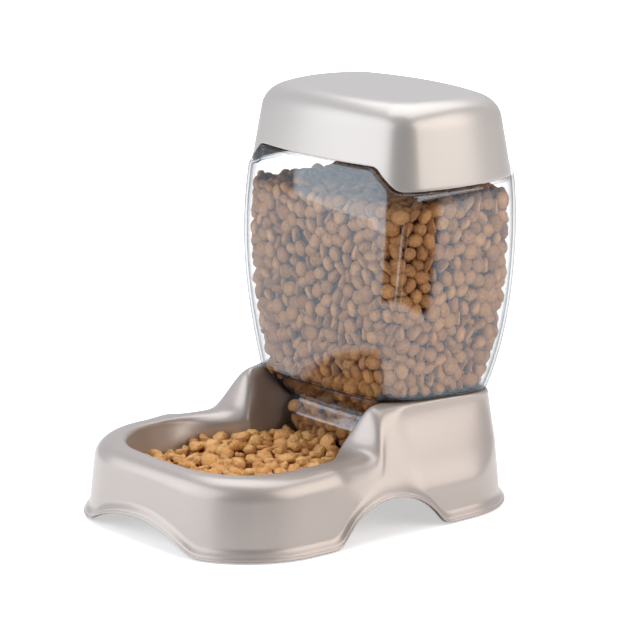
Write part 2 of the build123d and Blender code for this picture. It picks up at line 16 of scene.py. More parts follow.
import bmesh
import bpy
import numpy as np
from numpy.typing import NDArray
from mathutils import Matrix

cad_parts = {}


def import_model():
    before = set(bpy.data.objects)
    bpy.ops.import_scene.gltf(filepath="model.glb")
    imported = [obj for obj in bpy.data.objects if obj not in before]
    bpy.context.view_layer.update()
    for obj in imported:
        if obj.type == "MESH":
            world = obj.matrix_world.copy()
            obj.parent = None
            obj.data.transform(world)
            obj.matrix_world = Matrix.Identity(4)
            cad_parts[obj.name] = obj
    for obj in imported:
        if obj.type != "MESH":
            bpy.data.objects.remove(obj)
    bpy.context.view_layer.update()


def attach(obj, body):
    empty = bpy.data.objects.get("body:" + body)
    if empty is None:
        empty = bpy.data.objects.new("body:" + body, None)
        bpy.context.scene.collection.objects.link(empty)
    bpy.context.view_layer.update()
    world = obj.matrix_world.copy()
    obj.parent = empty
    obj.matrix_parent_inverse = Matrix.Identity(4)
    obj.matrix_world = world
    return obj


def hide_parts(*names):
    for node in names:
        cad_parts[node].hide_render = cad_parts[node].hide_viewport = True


Floats = NDArray[np.float64]
Spots = NDArray[np.complex128]
Size = Union[float, Floats]
Colour = tuple[float, float, float]
Place = tuple[float, float, float]
Pairs = tuple[tuple[float, float], ...]

LOG = logging.getLogger("pet_feeder")
METRES = 0.001  # metres in a millimetre
QUARTER = math.pi / 2
TINY = 1e-6
UP = (0.0, 0.0, 1.0)
FAR = 400.0  # further off than any part of the feeder
FINE = 400  # samples of an arc on which a place is looked up


class Body(Enum):
    """Bodies of the frame that pieces ride on."""

    BASE = "base"
    HOPPER = "hopper"
    LID = "lid"


class Slot(Enum):
    """Material slots of the record."""

    BASE = "base_plastic"
    LID = "lid_plastic"
    CLEAR = "clear_plastic"
    RUBBER = "foot_rubber"
    FOOD = "dry_food"


def ease(share: Size) -> Floats:
    """Rises from 0 to 1 as the share does, with level ends."""
    kept = np.clip(share, 0.0, 1.0)
    return kept * kept * (3.0 - 2.0 * kept)


def soft_least(first: Size, second: Size, width: Size) -> Floats:
    """The smaller of two values, rounded off where they differ by less than a width."""
    share = np.clip(0.5 + 0.5 * (second - first) / width, 0.0, 1.0)
    return second + (first - second) * share - width * share * (1.0 - share)


def soft_most(first: Size, second: Size, width: Size) -> Floats:
    """The larger of two values, rounded off where they differ by less than a width."""
    return -soft_least(-first, -second, width)


def even_shares(count: int) -> Floats:
    """Even shares from 0 up to, but without, 1."""
    return np.linspace(0.0, 1.0, count, endpoint=False)


def rows_to_one(count: int, first: int = 0) -> Floats:
    """Column of even shares from 0 to 1, from a given one of them on."""
    return np.linspace(0.0, 1.0, count)[first:, None]


def quarter_turn(count: int, first: int = 0) -> Floats:
    """Column of even angles from 0 to a quarter turn, from a given one of them on."""
    return np.linspace(0.0, QUARTER, count)[first:, None]


def even_out(values: Floats, passes: int) -> Floats:
    """Averages each column with its neighbours around the loop.

    Args:
        values: values whose last axis runs around the loop.
        passes: how often they are averaged.

    Returns:
        The evened values.
    """
    for _ in range(passes):
        values = 0.5 * values + 0.25 * (np.roll(values, 1, axis=-1) + np.roll(values, -1, axis=-1))
    return values


def mirrored(half: Floats, sign: float) -> Floats:
    """Closes the right half of a path with its reflection, whose values take the sign."""
    return np.concatenate([half, sign * half[..., -2:0:-1]], axis=-1)


def both_halves(half: Floats) -> Floats:
    """Closes the right half of a surface with its left half, whose X is the other way."""
    signs = (-1.0, 1.0, 1.0)
    return np.stack([mirrored(half[..., k], signs[k]) for k in range(3)], axis=-1)


def rounded_line(corners: Sequence[tuple[float, float]], radius: float, places: Size) -> Floats:
    """Height of a line of straight stretches with rounded corners.

    Each corner is an arc, written as a rational curve of the second degree between its two tangent points.

    Args:
        corners: place and height of the ends and the corners, in order.
        radius: radius of the rounded corners.
        places: where the height is wanted.

    Returns:
        One height for each place.
    """
    points = np.array(corners)
    along = rows_to_one(12)
    stretches = [points[:1]]
    for before, corner, after in zip(points[:-2], points[1:-1], points[2:]):
        towards = (corner - before) / np.linalg.norm(corner - before)
        away = (after - corner) / np.linalg.norm(after - corner)
        turn = math.acos(float(np.clip(towards @ away, -1.0, 1.0)))
        reach = radius * math.tan(turn / 2)
        weights = ((1 - along) ** 2, 2 * math.cos(turn / 2) * along * (1 - along), along**2)
        ends = (corner - reach * towards, corner, corner + reach * away)
        stretches.append(sum(w * p for w, p in zip(weights, ends)) / sum(weights))
    stretches.append(points[-1:])
    line = np.concatenate(stretches)
    return np.interp(places, line[:, 0], line[:, 1])


def depth_inside(offset: Floats, halves: Floats, corner: Floats) -> tuple[Floats, Floats]:
    """How deep points lie inside a plan with rounded corners.

    The depth is the distance to the nearer side, or to the corner's arc past the centre of that arc.

    Args:
        offset: X and Y of the points, from the middle of the plan.
        halves: half width and half length of the plan at each point.
        corner: radius of the plan's corners at each point.

    Returns:
        The depths, and the level direction outward at each point.
    """
    over = np.abs(offset) - (halves - corner[:, None])
    past = np.maximum(over, 0.0)
    length = np.linalg.norm(past, axis=1)
    depth = corner - length - np.minimum(over.max(axis=1), 0.0)
    side = np.where(over[:, :1] > over[:, 1:], [[1.0, 0.0]], [[0.0, 1.0]])
    around = np.where((length > TINY)[:, None], past / np.maximum(length, TINY)[:, None], side)
    outward = np.concatenate([around * np.sign(offset), np.zeros((len(offset), 1))], axis=1)
    return depth, outward


@dataclass(frozen=True)
class Walk:
    """How far each column has come along the stretches of the right half of an outline.

    Attributes:
        front: share of the front side.
        front_turn: angle turned in the front corner.
        side: share of the long side.
        rear_turn: angle turned in the rear corner.
        rear: share of the rear side.
    """

    front: Floats
    front_turn: Floats
    side: Floats
    rear_turn: Floats
    rear: Floats

    @classmethod
    def along(cls, stretches: Sequence[Floats]) -> Walk:
        """Columns at given shares of the five stretches.

        Args:
            stretches: shares of each stretch, in order.

        Returns:
            The walk, in which a stretch that is still to come counts 0 and one that is past counts 1.
        """
        counts = [len(stretch) for stretch in stretches]
        shares = []
        for index, stretch in enumerate(stretches):
            before = np.zeros(sum(counts[:index]))
            after = np.ones(sum(counts[index + 1:]))
            shares.append(np.concatenate([before, stretch, after]))
        front, front_corner, side, rear_corner, rear = shares
        return cls(front, front_corner * QUARTER, side, rear_corner * QUARTER, rear)

    @classmethod
    def even(cls, sides: int, corners: int) -> Walk:
        """Columns evenly along each stretch, a number to each side and to each corner."""
        stretches = [even_shares(count) for count in (sides, corners, sides, corners)]
        return cls.along([*stretches, np.linspace(0.0, 1.0, sides)])

    @classmethod
    def one_corner(cls, index: int) -> Walk:
        """Fine columns along one stretch alone, by its number."""
        none = np.zeros(0)
        return cls.along([np.linspace(0.0, 1.0, FINE) if k == index else none for k in range(5)])

    @property
    def turn(self) -> Floats:
        """Angle of the outward direction, from 0 at the front to half a turn at the rear."""
        return self.front_turn + self.rear_turn


@dataclass(frozen=True)
class Outline:
    """Plan with four bowed sides and rounded corners, whose sizes may differ from point to point."""

    front: Size
    rear: Size
    front_half: Size
    rear_half: Size
    front_corner: Size
    rear_corner: Size
    bow: float

    def grown(self, by: Size) -> Outline:
        """The same outline moved outward.

        Args:
            by: how far it moves.

        Returns:
            The moved outline.
        """
        return Outline(
            self.front - by,
            self.rear + by,
            self.front_half + by,
            self.rear_half + by,
            self.front_corner + by,
            self.rear_corner + by,
            self.bow,
        )

    @staticmethod
    def corner_place(end: Spots, long: Spots, radii: Sequence[Size], sign: float) -> Spots:
        """Centre of a corner's arc, which lies inside the circles of an end and of the side.

        Args:
            end: centre of the circle of the front or the rear.
            long: centre of the circle of the side.
            radii: distances of the corner's centre from those two centres.
            sign: 1 for the front corner, -1 for the rear corner.

        Returns:
            The centre, as a complex number.
        """
        between = long - end
        distance = np.abs(between)
        along = (distance**2 + radii[0] ** 2 - radii[1] ** 2) / (2 * distance)
        across = np.sqrt(radii[0] ** 2 - along**2)
        return end + between / distance * (along + 1j * sign * across)

    def half(self, walk: Walk) -> tuple[Floats, Floats]:
        """Right half: front, corner, side, corner and rear, five arcs that run on smoothly.

        Points are complex numbers, and an arc is given by the angle of its outward direction.

        Args:
            walk: where on the outline the columns are.

        Returns:
            X and Y of the columns.
        """
        front_x = self.front_half - self.bow
        rear_x = self.rear_half - self.bow
        front_radius = (front_x**2 + self.bow**2) / (2 * self.bow)
        rear_radius = (rear_x**2 + self.bow**2) / (2 * self.bow)
        chord = rear_x - front_x + 1j * (self.rear - self.front - 2 * self.bow)
        length = np.abs(chord)
        side_radius = (length**2 / 4 + self.bow**2) / (2 * self.bow)
        middle = (front_x + rear_x) / 2 + 1j * (self.front + self.rear) / 2
        front_centre = 1j * (self.front + front_radius)
        rear_centre = 1j * (self.rear - rear_radius)
        side_centre = middle + 1j * chord / length * (side_radius - self.bow)
        near = (front_radius - self.front_corner, side_radius - self.front_corner)
        far = (rear_radius - self.rear_corner, side_radius - self.rear_corner)
        near_centre = self.corner_place(front_centre, side_centre, near, 1.0)
        far_centre = self.corner_place(rear_centre, side_centre, far, -1.0)
        joints = (
            (near_centre, front_centre),
            (near_centre, side_centre),
            (far_centre, side_centre),
            (far_centre, rear_centre),
        )
        turns = [0.0, *(np.angle(inner - outer) + QUARTER for inner, outer in joints), math.pi]
        radii = (front_radius, self.front_corner, side_radius, self.rear_corner, rear_radius)
        shares = (walk.front, walk.front_turn / QUARTER, walk.side, walk.rear_turn / QUARTER, walk.rear)
        point = front_centre - 1j * front_radius
        for radius, share, start, stop in zip(radii, shares, turns, turns[1:]):
            swept = np.exp(1j * (start + (stop - start) * share)) - np.exp(1j * start)
            point = point - 1j * radius * swept
        return point.real, point.imag


class Value:
    """Output of a node, on which arithmetic adds the nodes that work it out."""

    def __init__(self, bench: Bench, socket: bpy.types.NodeSocket | None) -> None:
        """Holds the socket and the bench that its nodes stand on."""
        self.bench = bench
        self.socket = socket

    def __add__(self, other: Value | float) -> Value:
        """Sum."""
        return self.bench.math("ADD", self, other)

    def __sub__(self, other: Value | float) -> Value:
        """Difference."""
        return self.bench.math("SUBTRACT", self, other)

    def __mul__(self, other: Value | float) -> Value:
        """Product."""
        return self.bench.math("MULTIPLY", self, other)

    def __truediv__(self, other: Value | float) -> Value:
        """Quotient."""
        return self.bench.math("DIVIDE", self, other)

    def __pow__(self, other: Value | float) -> Value:
        """Power."""
        return self.bench.math("POWER", self, other)

    def __abs__(self) -> Value:
        """Size without the sign."""
        return self.bench.math("ABSOLUTE", self, 0.0)

    def kept(self) -> Value:
        """The value held between 0 and 1."""
        return self.bench.math("MINIMUM", self.bench.math("MAXIMUM", self, 0.0), 1.0)


class Bench:
    """Node tree of one finish."""

    def __init__(self, tree: bpy.types.NodeTree) -> None:
        """Clears the tree."""
        self.tree = tree
        tree.nodes.clear()

    def add(
        self,
        kind: str,
        inputs: Mapping[str | int, Any] | None = None,
        settings: Mapping[str, Any] | None = None,
        output: str | int = 0,
    ) -> Value:
        """Adds a node. Its settings are set first.

        Args:
            kind: type of the node.
            inputs: values and links of its input sockets.
            settings: properties of the node.
            output: name or number of the output that is handed back.

        Returns:
            The output, or a value without a socket when the node has none.
        """
        node = self.tree.nodes.new(kind)
        for name, setting in (settings or {}).items():
            setattr(node, name, setting)
        for name, given in (inputs or {}).items():
            if isinstance(given, Value):
                self.tree.links.new(given.socket, node.inputs[name])
            else:
                node.inputs[name].default_value = given
        return Value(self, node.outputs[output] if len(node.outputs) else None)

    def math(self, operation: str, first: Value | float, second: Value | float) -> Value:
        """Adds a calculation with two values."""
        return self.add("ShaderNodeMath", {0: first, 1: second}, {"operation": operation})

    def measure(self, operation: str, *vectors: Value) -> Value:
        """Adds a calculation on vectors that gives a number."""
        return self.add("ShaderNodeVectorMath", dict(enumerate(vectors)), {"operation": operation}, "Value")

    def direction(self, way: Place) -> Value:
        """Adds a vector."""
        return self.add("ShaderNodeCombineXYZ", dict(enumerate(way)))

    def blend(self, share: Value | float, first: Value | Colour, second: Value | Colour) -> Value:
        """Adds a mix of two colours."""
        colours = [c if isinstance(c, Value) else (*c, 1.0) for c in (first, second)]
        return self.add("ShaderNodeMix", {0: share, 6: colours[0], 7: colours[1]}, {"data_type": "RGBA"}, 2)

    def noise(self, grain: float, detail: float = 2.0) -> Value:
        """Adds noise whose grain is a length in millimetres on the object."""
        place = self.add("ShaderNodeTexCoord", output="Object")
        inputs = {"Vector": place, "Scale": 1.0 / (grain * METRES), "Detail": detail}
        return self.add("ShaderNodeTexNoise", inputs)

    def bump(self, height: Value, depth: float) -> Value:
        """Adds a relief with a depth in millimetres."""
        return self.add("ShaderNodeBump", {"Height": height, "Distance": depth * METRES, "Strength": 1.0})

    def either(self, share: Value, first: Value, second: Value) -> Value:
        """Adds a mix of two shaders."""
        return self.add("ShaderNodeMixShader", {0: share, 1: first, 2: second})

    def surface(self, shader: Value) -> None:
        """Makes a shader the surface of the finish, or of the room."""
        kind = "World" if isinstance(self.tree.id_data, bpy.types.World) else "Material"
        self.add(f"ShaderNodeOutput{kind}", {"Surface": shader})


def new_finish(name: str) -> tuple[bpy.types.Material, Bench]:
    """Starts a finish.

    Args:
        name: name of the finish.

    Returns:
        The new material and the bench for its nodes.
    """
    material = bpy.data.materials.new(name)
    material.use_nodes = True
    return material, Bench(material.node_tree)


@dataclass(frozen=True)
class PearlPlastic:
    """Satin plastic with a fine pearl in it.

    Attributes:
        name: name of the finish.
        pale: colour of the bright flakes.
        deep: colour between the flakes.
        roughness: middle roughness.
        uneven: how much the roughness changes over the moulding.
        metallic: share of the pearl in the reflection.
        coat: weight of the clear skin over the pearl.
        coat_roughness: roughness of that skin.
    """

    name: str
    pale: Colour
    deep: Colour
    roughness: float = 0.37
    uneven: float = 0.08
    metallic: float = 0.5
    coat: float = 0.35
    coat_roughness: float = 0.18

    FLAKE_GRAIN = 0.5
    GLOSS_GRAIN = 70.0
    SKIN_GRAIN = 0.9
    SKIN_DEPTH = 0.004

    def make(self) -> bpy.types.Material:
        """Builds the material: flakes in the colour, a slow change of the gloss and a fine skin.

        Returns:
            The material.
        """
        material, bench = new_finish(self.name)
        flakes = bench.noise(self.FLAKE_GRAIN, 3.0)
        slow = bench.noise(self.GLOSS_GRAIN)
        skin = bench.noise(self.SKIN_GRAIN)
        shader = bench.add("ShaderNodeBsdfPrincipled", {
            "Base Color": bench.blend((flakes * 1.6 - 0.3).kept(), self.deep, self.pale),
            "Metallic": self.metallic,
            "Roughness": slow * self.uneven + (self.roughness - self.uneven / 2),
            "Coat Weight": self.coat,
            "Coat Roughness": self.coat_roughness,
            "Normal": bench.bump(skin, self.SKIN_DEPTH),
        })
        bench.surface(shader)
        return material


@dataclass(frozen=True)
class ClearPlastic:
    """Clear plastic wall, which reflects more the flatter it is looked at.

    Attributes:
        name: name of the finish.
        tints: what one face lets through when looked at straight on, and when looked at flat.
        mirrors: what it reflects when looked at straight on, and when looked at flat.
        straight_on: share that one face reflects when looked at straight on.
        wave_grain: length of the slow waves in the wall.
    """

    name: str
    tints: tuple[Colour, Colour] = ((0.975, 0.978, 0.982), (0.59, 0.56, 0.54))
    mirrors: tuple[Colour, Colour] = ((0.76, 0.9, 1.0), (0.28, 0.27, 0.262))
    straight_on: float = 0.068
    wave_grain: float = 45.0

    SHARE_POWER = 4.5
    TINT_POWER = 2.4
    MIRROR_POWER = 2.0

    def make(self) -> bpy.types.Material:
        """Builds the material: a see-through face under a mirror whose share follows the angle.

        Returns:
            The material.
        """
        material, bench = new_finish(self.name)
        flatness = bench.add("ShaderNodeLayerWeight", {"Blend": 0.5}, output="Facing")
        share = flatness**self.SHARE_POWER * (1.0 - self.straight_on) + self.straight_on
        gloss = bench.noise(self.wave_grain, 1.0) * 0.03 + 0.02
        faces = [bench.add("ShaderNodeBsdfTransparent", {"Color": (*tint, 1.0)}) for tint in self.tints]
        mirrors = [
            bench.add("ShaderNodeBsdfGlossy", {"Color": (*mirror, 1.0), "Roughness": gloss})
            for mirror in self.mirrors
        ]
        through = bench.either(flatness**self.TINT_POWER, *faces)
        reflected = bench.either(flatness**self.MIRROR_POWER, *mirrors)
        bench.surface(bench.either(share, through, reflected))
        return material


@dataclass(frozen=True)
class DryFood:
    """Baked dry food, each piece with its own tone.

    Attributes:
        name: name of the finish.
        pale: colour of the palest pieces.
        deep: colour of the darkest pieces.
        outline: how much painted shade darkens the edge of a piece.
        pore_and_shade_colour: colour of the crumbs and pores, and of the painted shade at the edge of a
            piece.
        relief: depth of the crumbs and pores.
    """

    name: str
    pale: Colour
    deep: Colour
    outline: float
    pore_and_shade_colour: Colour = (0.25, 0.095, 0.03)
    relief: float = 1.4

    CRUMB_GRAIN = 1.6
    LUMP_GRAIN = 4.0

    def make(self) -> bpy.types.Material:
        """Builds the material: a tone for each piece, pores, painted shade at each piece's edge and a rough
        skin.

        Returns:
            The material.
        """
        material, bench = new_finish(self.name)
        tone, rim = (
            bench.add("ShaderNodeAttribute", None, {"attribute_name": name}, "Fac")
            for name in (Pellet.TONE, Pellet.RIM)
        )
        crumb = bench.noise(self.CRUMB_GRAIN, 4.0)
        lumps = bench.noise(self.LUMP_GRAIN)
        body = bench.blend((tone * 0.8 + lumps * 0.6 - 0.2).kept(), self.deep, self.pale)
        # Real pores, plus painted shade that darkens each piece towards its edge in the pore colour.
        pores_and_rim_shade = ((crumb * 3.4 - 1.7).kept() * 0.5 + rim * self.outline).kept()
        shader = bench.add("ShaderNodeBsdfPrincipled", {
            "Base Color": bench.blend(pores_and_rim_shade, body, self.pore_and_shade_colour),
            "Roughness": crumb * 0.2 + 0.5,
            "Specular IOR Level": 0.35,
            "Normal": bench.bump(crumb, self.relief),
        })
        bench.surface(shader)
        return material


@dataclass(frozen=True)
class MattSurface:
    """Matt surface with a soft mottle, for rubber and for the shadow inside the food.

    Attributes:
        name: name of the finish.
        pale: lighter colour of the mottle.
        deep: darker colour of the mottle.
        grain: length of the mottle.
        roughness: roughness.
        relief: depth of the mottle.
    """

    name: str
    pale: Colour
    deep: Colour
    grain: float
    roughness: float = 0.85
    relief: float = 0.02

    def make(self) -> bpy.types.Material:
        """Builds the material.

        Returns:
            The material.
        """
        material, bench = new_finish(self.name)
        mottle = bench.noise(self.grain, 3.0)
        shader = bench.add("ShaderNodeBsdfPrincipled", {
            "Base Color": bench.blend(mottle, self.deep, self.pale),
            "Roughness": self.roughness,
            "Normal": bench.bump(mottle, self.relief),
        })
        bench.surface(shader)
        return material


def put_in_scene(name: str, data: bpy.types.ID) -> bpy.types.Object:
    """Adds an object at the origin.

    Args:
        name: name of the object.
        data: its mesh, lamp or camera.

    Returns:
        The object.
    """
    thing = bpy.data.objects.new(name, data)
    bpy.context.scene.collection.objects.link(thing)
    return thing


def smooth(mesh: bpy.types.Mesh) -> None:
    """Shades all faces smooth."""
    mesh.polygons.foreach_set("use_smooth", np.ones(len(mesh.polygons), dtype=bool))


def sheet(name: str, points: Floats, closed: bool = True) -> bpy.types.Object:
    """Smooth mesh of a grid of points, in which points that coincide are joined.

    Args:
        name: name of the piece.
        points: rows by columns by coordinates, in millimetres.
        closed: whether the columns close to a loop.

    Returns:
        The piece.
    """
    rows, columns = points.shape[:2]
    index = np.arange(rows * columns).reshape(rows, columns)
    following = np.roll(index, -1, axis=1)
    faces = np.stack([index[:-1], following[:-1], following[1:], index[1:]], axis=-1)
    kept = faces if closed else faces[:, :-1]
    mesh = bpy.data.meshes.new(name)
    mesh.from_pydata((points.reshape(-1, 3) * METRES).tolist(), [], kept.reshape(-1, 4).tolist())
    joined = bmesh.new()
    joined.from_mesh(mesh)
    bmesh.ops.remove_doubles(joined, verts=joined.verts, dist=TINY)
    bmesh.ops.dissolve_degenerate(joined, edges=joined.edges, dist=TINY / 10)
    joined.to_mesh(mesh)
    joined.free()
    smooth(mesh)
    LOG.info("%s: %d faces", name, len(mesh.polygons))
    return put_in_scene(name, mesh)


def thicken(piece: bpy.types.Object, wall: float) -> None:
    """Gives a sheet its wall thickness, inward.

    Args:
        piece: the sheet.
        wall: the thickness.
    """
    shell = piece.modifiers.new("wall", "SOLIDIFY")
    shell.thickness = wall * METRES
    shell.offset = -1.0


def soften(piece: bpy.types.Object, width: float) -> None:
    """Rounds the sharp edges of a piece.

    Args:
        piece: the piece.
        width: width of the rounding.
    """
    rounding = piece.modifiers.new("edges", "BEVEL")
    rounding.width = width * METRES
    rounding.segments = 2
    rounding.limit_method = "ANGLE"
    rounding.angle_limit = math.radians(50.0)


def dress(piece: bpy.types.Object, finish: bpy.types.Material, slot: Slot, body: Body, node: str) -> None:
    """Gives a piece its finish and its place in the frame.

    Args:
        piece: the piece.
        finish: its material.
        slot: its material slot; not used.
        body: the body it rides on.
        node: the node of the frame that it stands for.
    """
    piece.data.materials.append(finish)
    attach(piece, body.value)
    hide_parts(node)


@dataclass
class BaseShell:
    """Base moulding: skirt with lip and arches, bowl, two horns, waist, seat and food ramp.

    A step is the Y of its foot and its head. Roundings are pairs of a Y and the radius there, and an arch is
    its width, its height and the rounding of its ends.
    """

    lip: Outline = Outline(-143.5, 132.5, 106.5, 111.5, 72.0, 60.0, 2.5)
    lip_reach: float = 3.6
    lip_profile: Pairs = (
        (0.0, 3.3), (0.3, 3.55), (0.8, 3.6), (1.3, 3.5), (1.7, 3.1), (2.0, 2.75), (2.3, 2.8),
        (2.8, 2.75), (3.5, 2.35), (4.5, 1.55), (5.6, 0.75), (6.8, 0.2), (8.0, 0.0),
    )
    floor_gap: float = 1.0
    block_top: float = 84.0
    lean: float = 9.5
    rear_lean: float = 6.5
    wall: float = 2.5
    rim: float = 53.5
    seat: float = 83.0
    seat_fall: float = 0.05
    seat_from: float = 23.0
    step: tuple[float, float] = (-0.5, 8.5)
    mouth_step: tuple[float, float] = (-7.0, 7.0)
    step_round: float = 11.5
    edge_rounds: Pairs = ((-40.0, 15.0), (-4.0, 13.0), (16.0, 11.0), (32.0, 2.4))
    edge_share: float = 0.68  # most of the rim's width that the outer rounding takes
    mouth_rounds: Pairs = ((-60.0, 3.5), (-8.0, 9.0), (15.0, 10.0), (26.0, 2.0))
    mouth_share: float = 0.3  # most of the rim's width that the inner rounding takes
    waist_half: float = 78.5
    waist_foot: float = 20.0
    waist_foot_half: float = 106.5
    waist_from: float = -52.0
    waist_to: float = -8.0
    waist_rise: float = 30.0
    waist_onset: float = 4.0
    waist_curve: tuple[float, ...] = (0.0, 0.36, 0.5, 1.0)
    waist_soft: tuple[float, float] = (0.1, 16.0)
    bowl: Outline = Outline(-117.5, 8.5, 76.5, 76.5, 50.0, 68.0, 5.0)
    bowl_floor: float = 14.0
    bowl_lean: float = 9.0
    throat_half: float = 49.0
    throat_flare: float = 12.0
    throat_rise: float = 30.0
    throat_soft: float = 5.0
    throat_height: float = 53.0
    throat_rear: float = 19.9
    ramp_foot: float = 6.5
    ramp_rear: float = 113.5
    ramp_height: float = 54.0
    pocket: Outline = Outline(17.0, 120.7, 72.5, 72.5, 22.5, 22.5, 3.0)
    ledge: Outline = Outline(32.0, 114.0, 64.5, 64.5, 22.5, 22.5, 3.0)
    ledge_height: float = 61.5
    ledge_width: float = 3.5
    end_arch: tuple[float, float, float] = (116.0, 15.5, 2.0)
    side_arch: tuple[float, float, float] = (91.0, 26.5, 4.5)
    side_arch_middle: float = -3.0
    worn_from: float = -44.0
    worn_to: float = 30.0
    worn_low: float = 26.0
    worn_fade: float = 14.0
    worn_passes: int = 44
    walk: Walk = field(init=False)

    FRONT_COUNT = 20
    CORNER_COUNT = 44
    SIDE_COUNTS = (12, 26, 32, 12, 14)
    REAR_CORNER_COUNT = 30
    REAR_COUNT = 20
    SIDE_PLACES = (-40.0, -8.0, 20.0, 38.0)
    WALL_ROWS = 22
    EDGE_PASSES = 8
    SHELL_PASSES = 3

    def __post_init__(self) -> None:
        """Lays the columns out, closer together on the sides where the horns rise."""
        none = np.zeros(0)
        low, high = self.lip.half(Walk.along([none, none, np.array([0.0, 1.0]), none, none]))[1]
        stops = (low, *self.SIDE_PLACES, high)
        places = [
            np.linspace(start, end, count, endpoint=False)
            for start, end, count in zip(stops, stops[1:], self.SIDE_COUNTS)
        ]
        self.walk = Walk.along([
            even_shares(self.FRONT_COUNT),
            even_shares(self.CORNER_COUNT),
            (np.concatenate(places) - low) / (high - low),
            even_shares(self.REAR_CORNER_COUNT),
            np.linspace(0.0, 1.0, self.REAR_COUNT),
        ])

    def top(self, y: Size, inward: Size = 0.0) -> Floats:
        """Height of the top along the feeder: the bowl's rim, the step and the seat that falls to the rear.

        Args:
            y: places along the feeder.
            inward: share of the way from the outer edge to the mouth, where the step is longer.

        Returns:
            One height for each place.
        """
        lines = []
        for foot, head in (self.step, self.mouth_step):
            rear = self.seat - self.seat_fall * (FAR - head)
            corners = [(-FAR, self.rim), (foot, self.rim), (head, self.seat), (FAR, rear)]
            lines.append(rounded_line(corners, self.step_round, y))
        return lines[0] + (lines[1] - lines[0]) * ease(inward)

    def floor(self, y: Size) -> Floats:
        """Height of the bowl's floor and of the ramp that rises from it to the rear."""
        share = np.clip((y - self.ramp_foot) / (self.ramp_rear - self.ramp_foot), 0.0, 1.0)
        return self.bowl_floor + (self.ramp_height - self.bowl_floor) * share

    def waist_at(self, height: Floats) -> Floats:
        """Half width of the waist: a cubic curve from its foot up to the seat.

        Args:
            height: heights on the moulding.

        Returns:
            One half width for each height.
        """
        t = np.linspace(0.0, 1.0, 80)
        weights = np.stack([(1 - t) ** 3, 3 * t * (1 - t) ** 2, 3 * t * t * (1 - t), t**3])
        rise = self.block_top + self.wall - self.waist_foot
        heights = self.waist_foot + rise * np.array(self.waist_curve)
        foot = self.waist_foot_half
        halves = np.array([foot, foot - self.wall, self.waist_half, self.waist_half])
        return np.interp(height, heights @ weights, halves @ weights)

    def outer(self, height: Floats) -> tuple[Floats, Floats]:
        """Outside of the wall: the leaning skirt, drawn in at the waist.

        Args:
            height: height for each column, or rows of them.

        Returns:
            X and Y of the columns.
        """
        share = (height - self.floor_gap) / (self.block_top - self.floor_gap)
        lean = self.lean * share
        skirt = self.lip.grown(-self.lip_reach - lean)
        skirt = replace(skirt, rear=skirt.rear + lean - self.rear_lean * share)
        x, y = skirt.half(self.walk)
        above = np.clip((height - self.waist_foot) / self.waist_rise, 0.0, 1.0)
        crisp, soft = self.waist_soft
        drawn = soft_least(x, self.waist_at(height), crisp + soft * above)
        share_along = ease((y - self.waist_from) / (self.waist_to - self.waist_from))
        return x + (drawn - x) * share_along * ease(above * self.waist_onset), y

    @staticmethod
    def arch(distance: Floats, size: tuple[float, float, float]) -> Floats:
        """Height of an arch over the floor: an arc that runs out in rounded ends.

        Args:
            distance: distances from the middle of the arch.
            size: width, height and rounding of the ends.

        Returns:
            One height for each distance.
        """
        width, height, ends = size
        radius = (width * width / 4 + height * height) / (2 * height)
        round_top = height - radius + np.sqrt(np.clip(radius**2 - distance**2, 0.0, None))
        return np.clip(soft_most(round_top, 0.0 * distance, ends), 0.0, None)

    def lower_edge(self) -> Floats:
        """Height of the skirt's lower edge, with the arches.

        Returns:
            One height for each column.
        """
        x, y = self.lip.half(self.walk)
        at_side = np.abs(self.walk.turn - QUARTER) < QUARTER / 2
        ends = self.arch(x, self.end_arch)
        sides = self.arch(y - self.side_arch_middle, self.side_arch)
        return self.floor_gap + np.where(at_side, sides, ends)

    def skirt_rows(self) -> tuple[Floats, Floats]:
        """Rows from the lower edge over the lip and the wall up to the rounded outer edge.

        Returns:
            The rows, and the radius of the outer edge for each column.
        """
        rises, reaches = np.array(self.lip_profile).T[:, :, None]
        bottom = self.lower_edge()
        at_rim = np.stack(self.outer(np.full(bottom.shape, self.rim)))
        gap = np.hypot(*(self.inner_edges()[0, :2] - at_rim))
        places, radii = zip(*self.edge_rounds)
        radius = np.minimum(np.interp(at_rim[1], places, radii), self.edge_share * gap)
        radius = even_out(mirrored(radius, 1.0), self.EDGE_PASSES)[: len(radius)]
        edge = self.top(at_rim[1]) - radius
        lip_heights = bottom + rises
        shares = rows_to_one(self.WALL_ROWS, 1)
        wall_heights = lip_heights[-1] + (edge - lip_heights[-1]) * shares
        heights = np.concatenate([lip_heights, wall_heights])
        outward = np.concatenate([reaches, 0.0 * shares])
        x, y = self.outer(heights)
        x = x + outward * np.sin(self.walk.turn)
        y = y - outward * np.cos(self.walk.turn)
        return np.stack([x, y, heights], axis=-1), radius

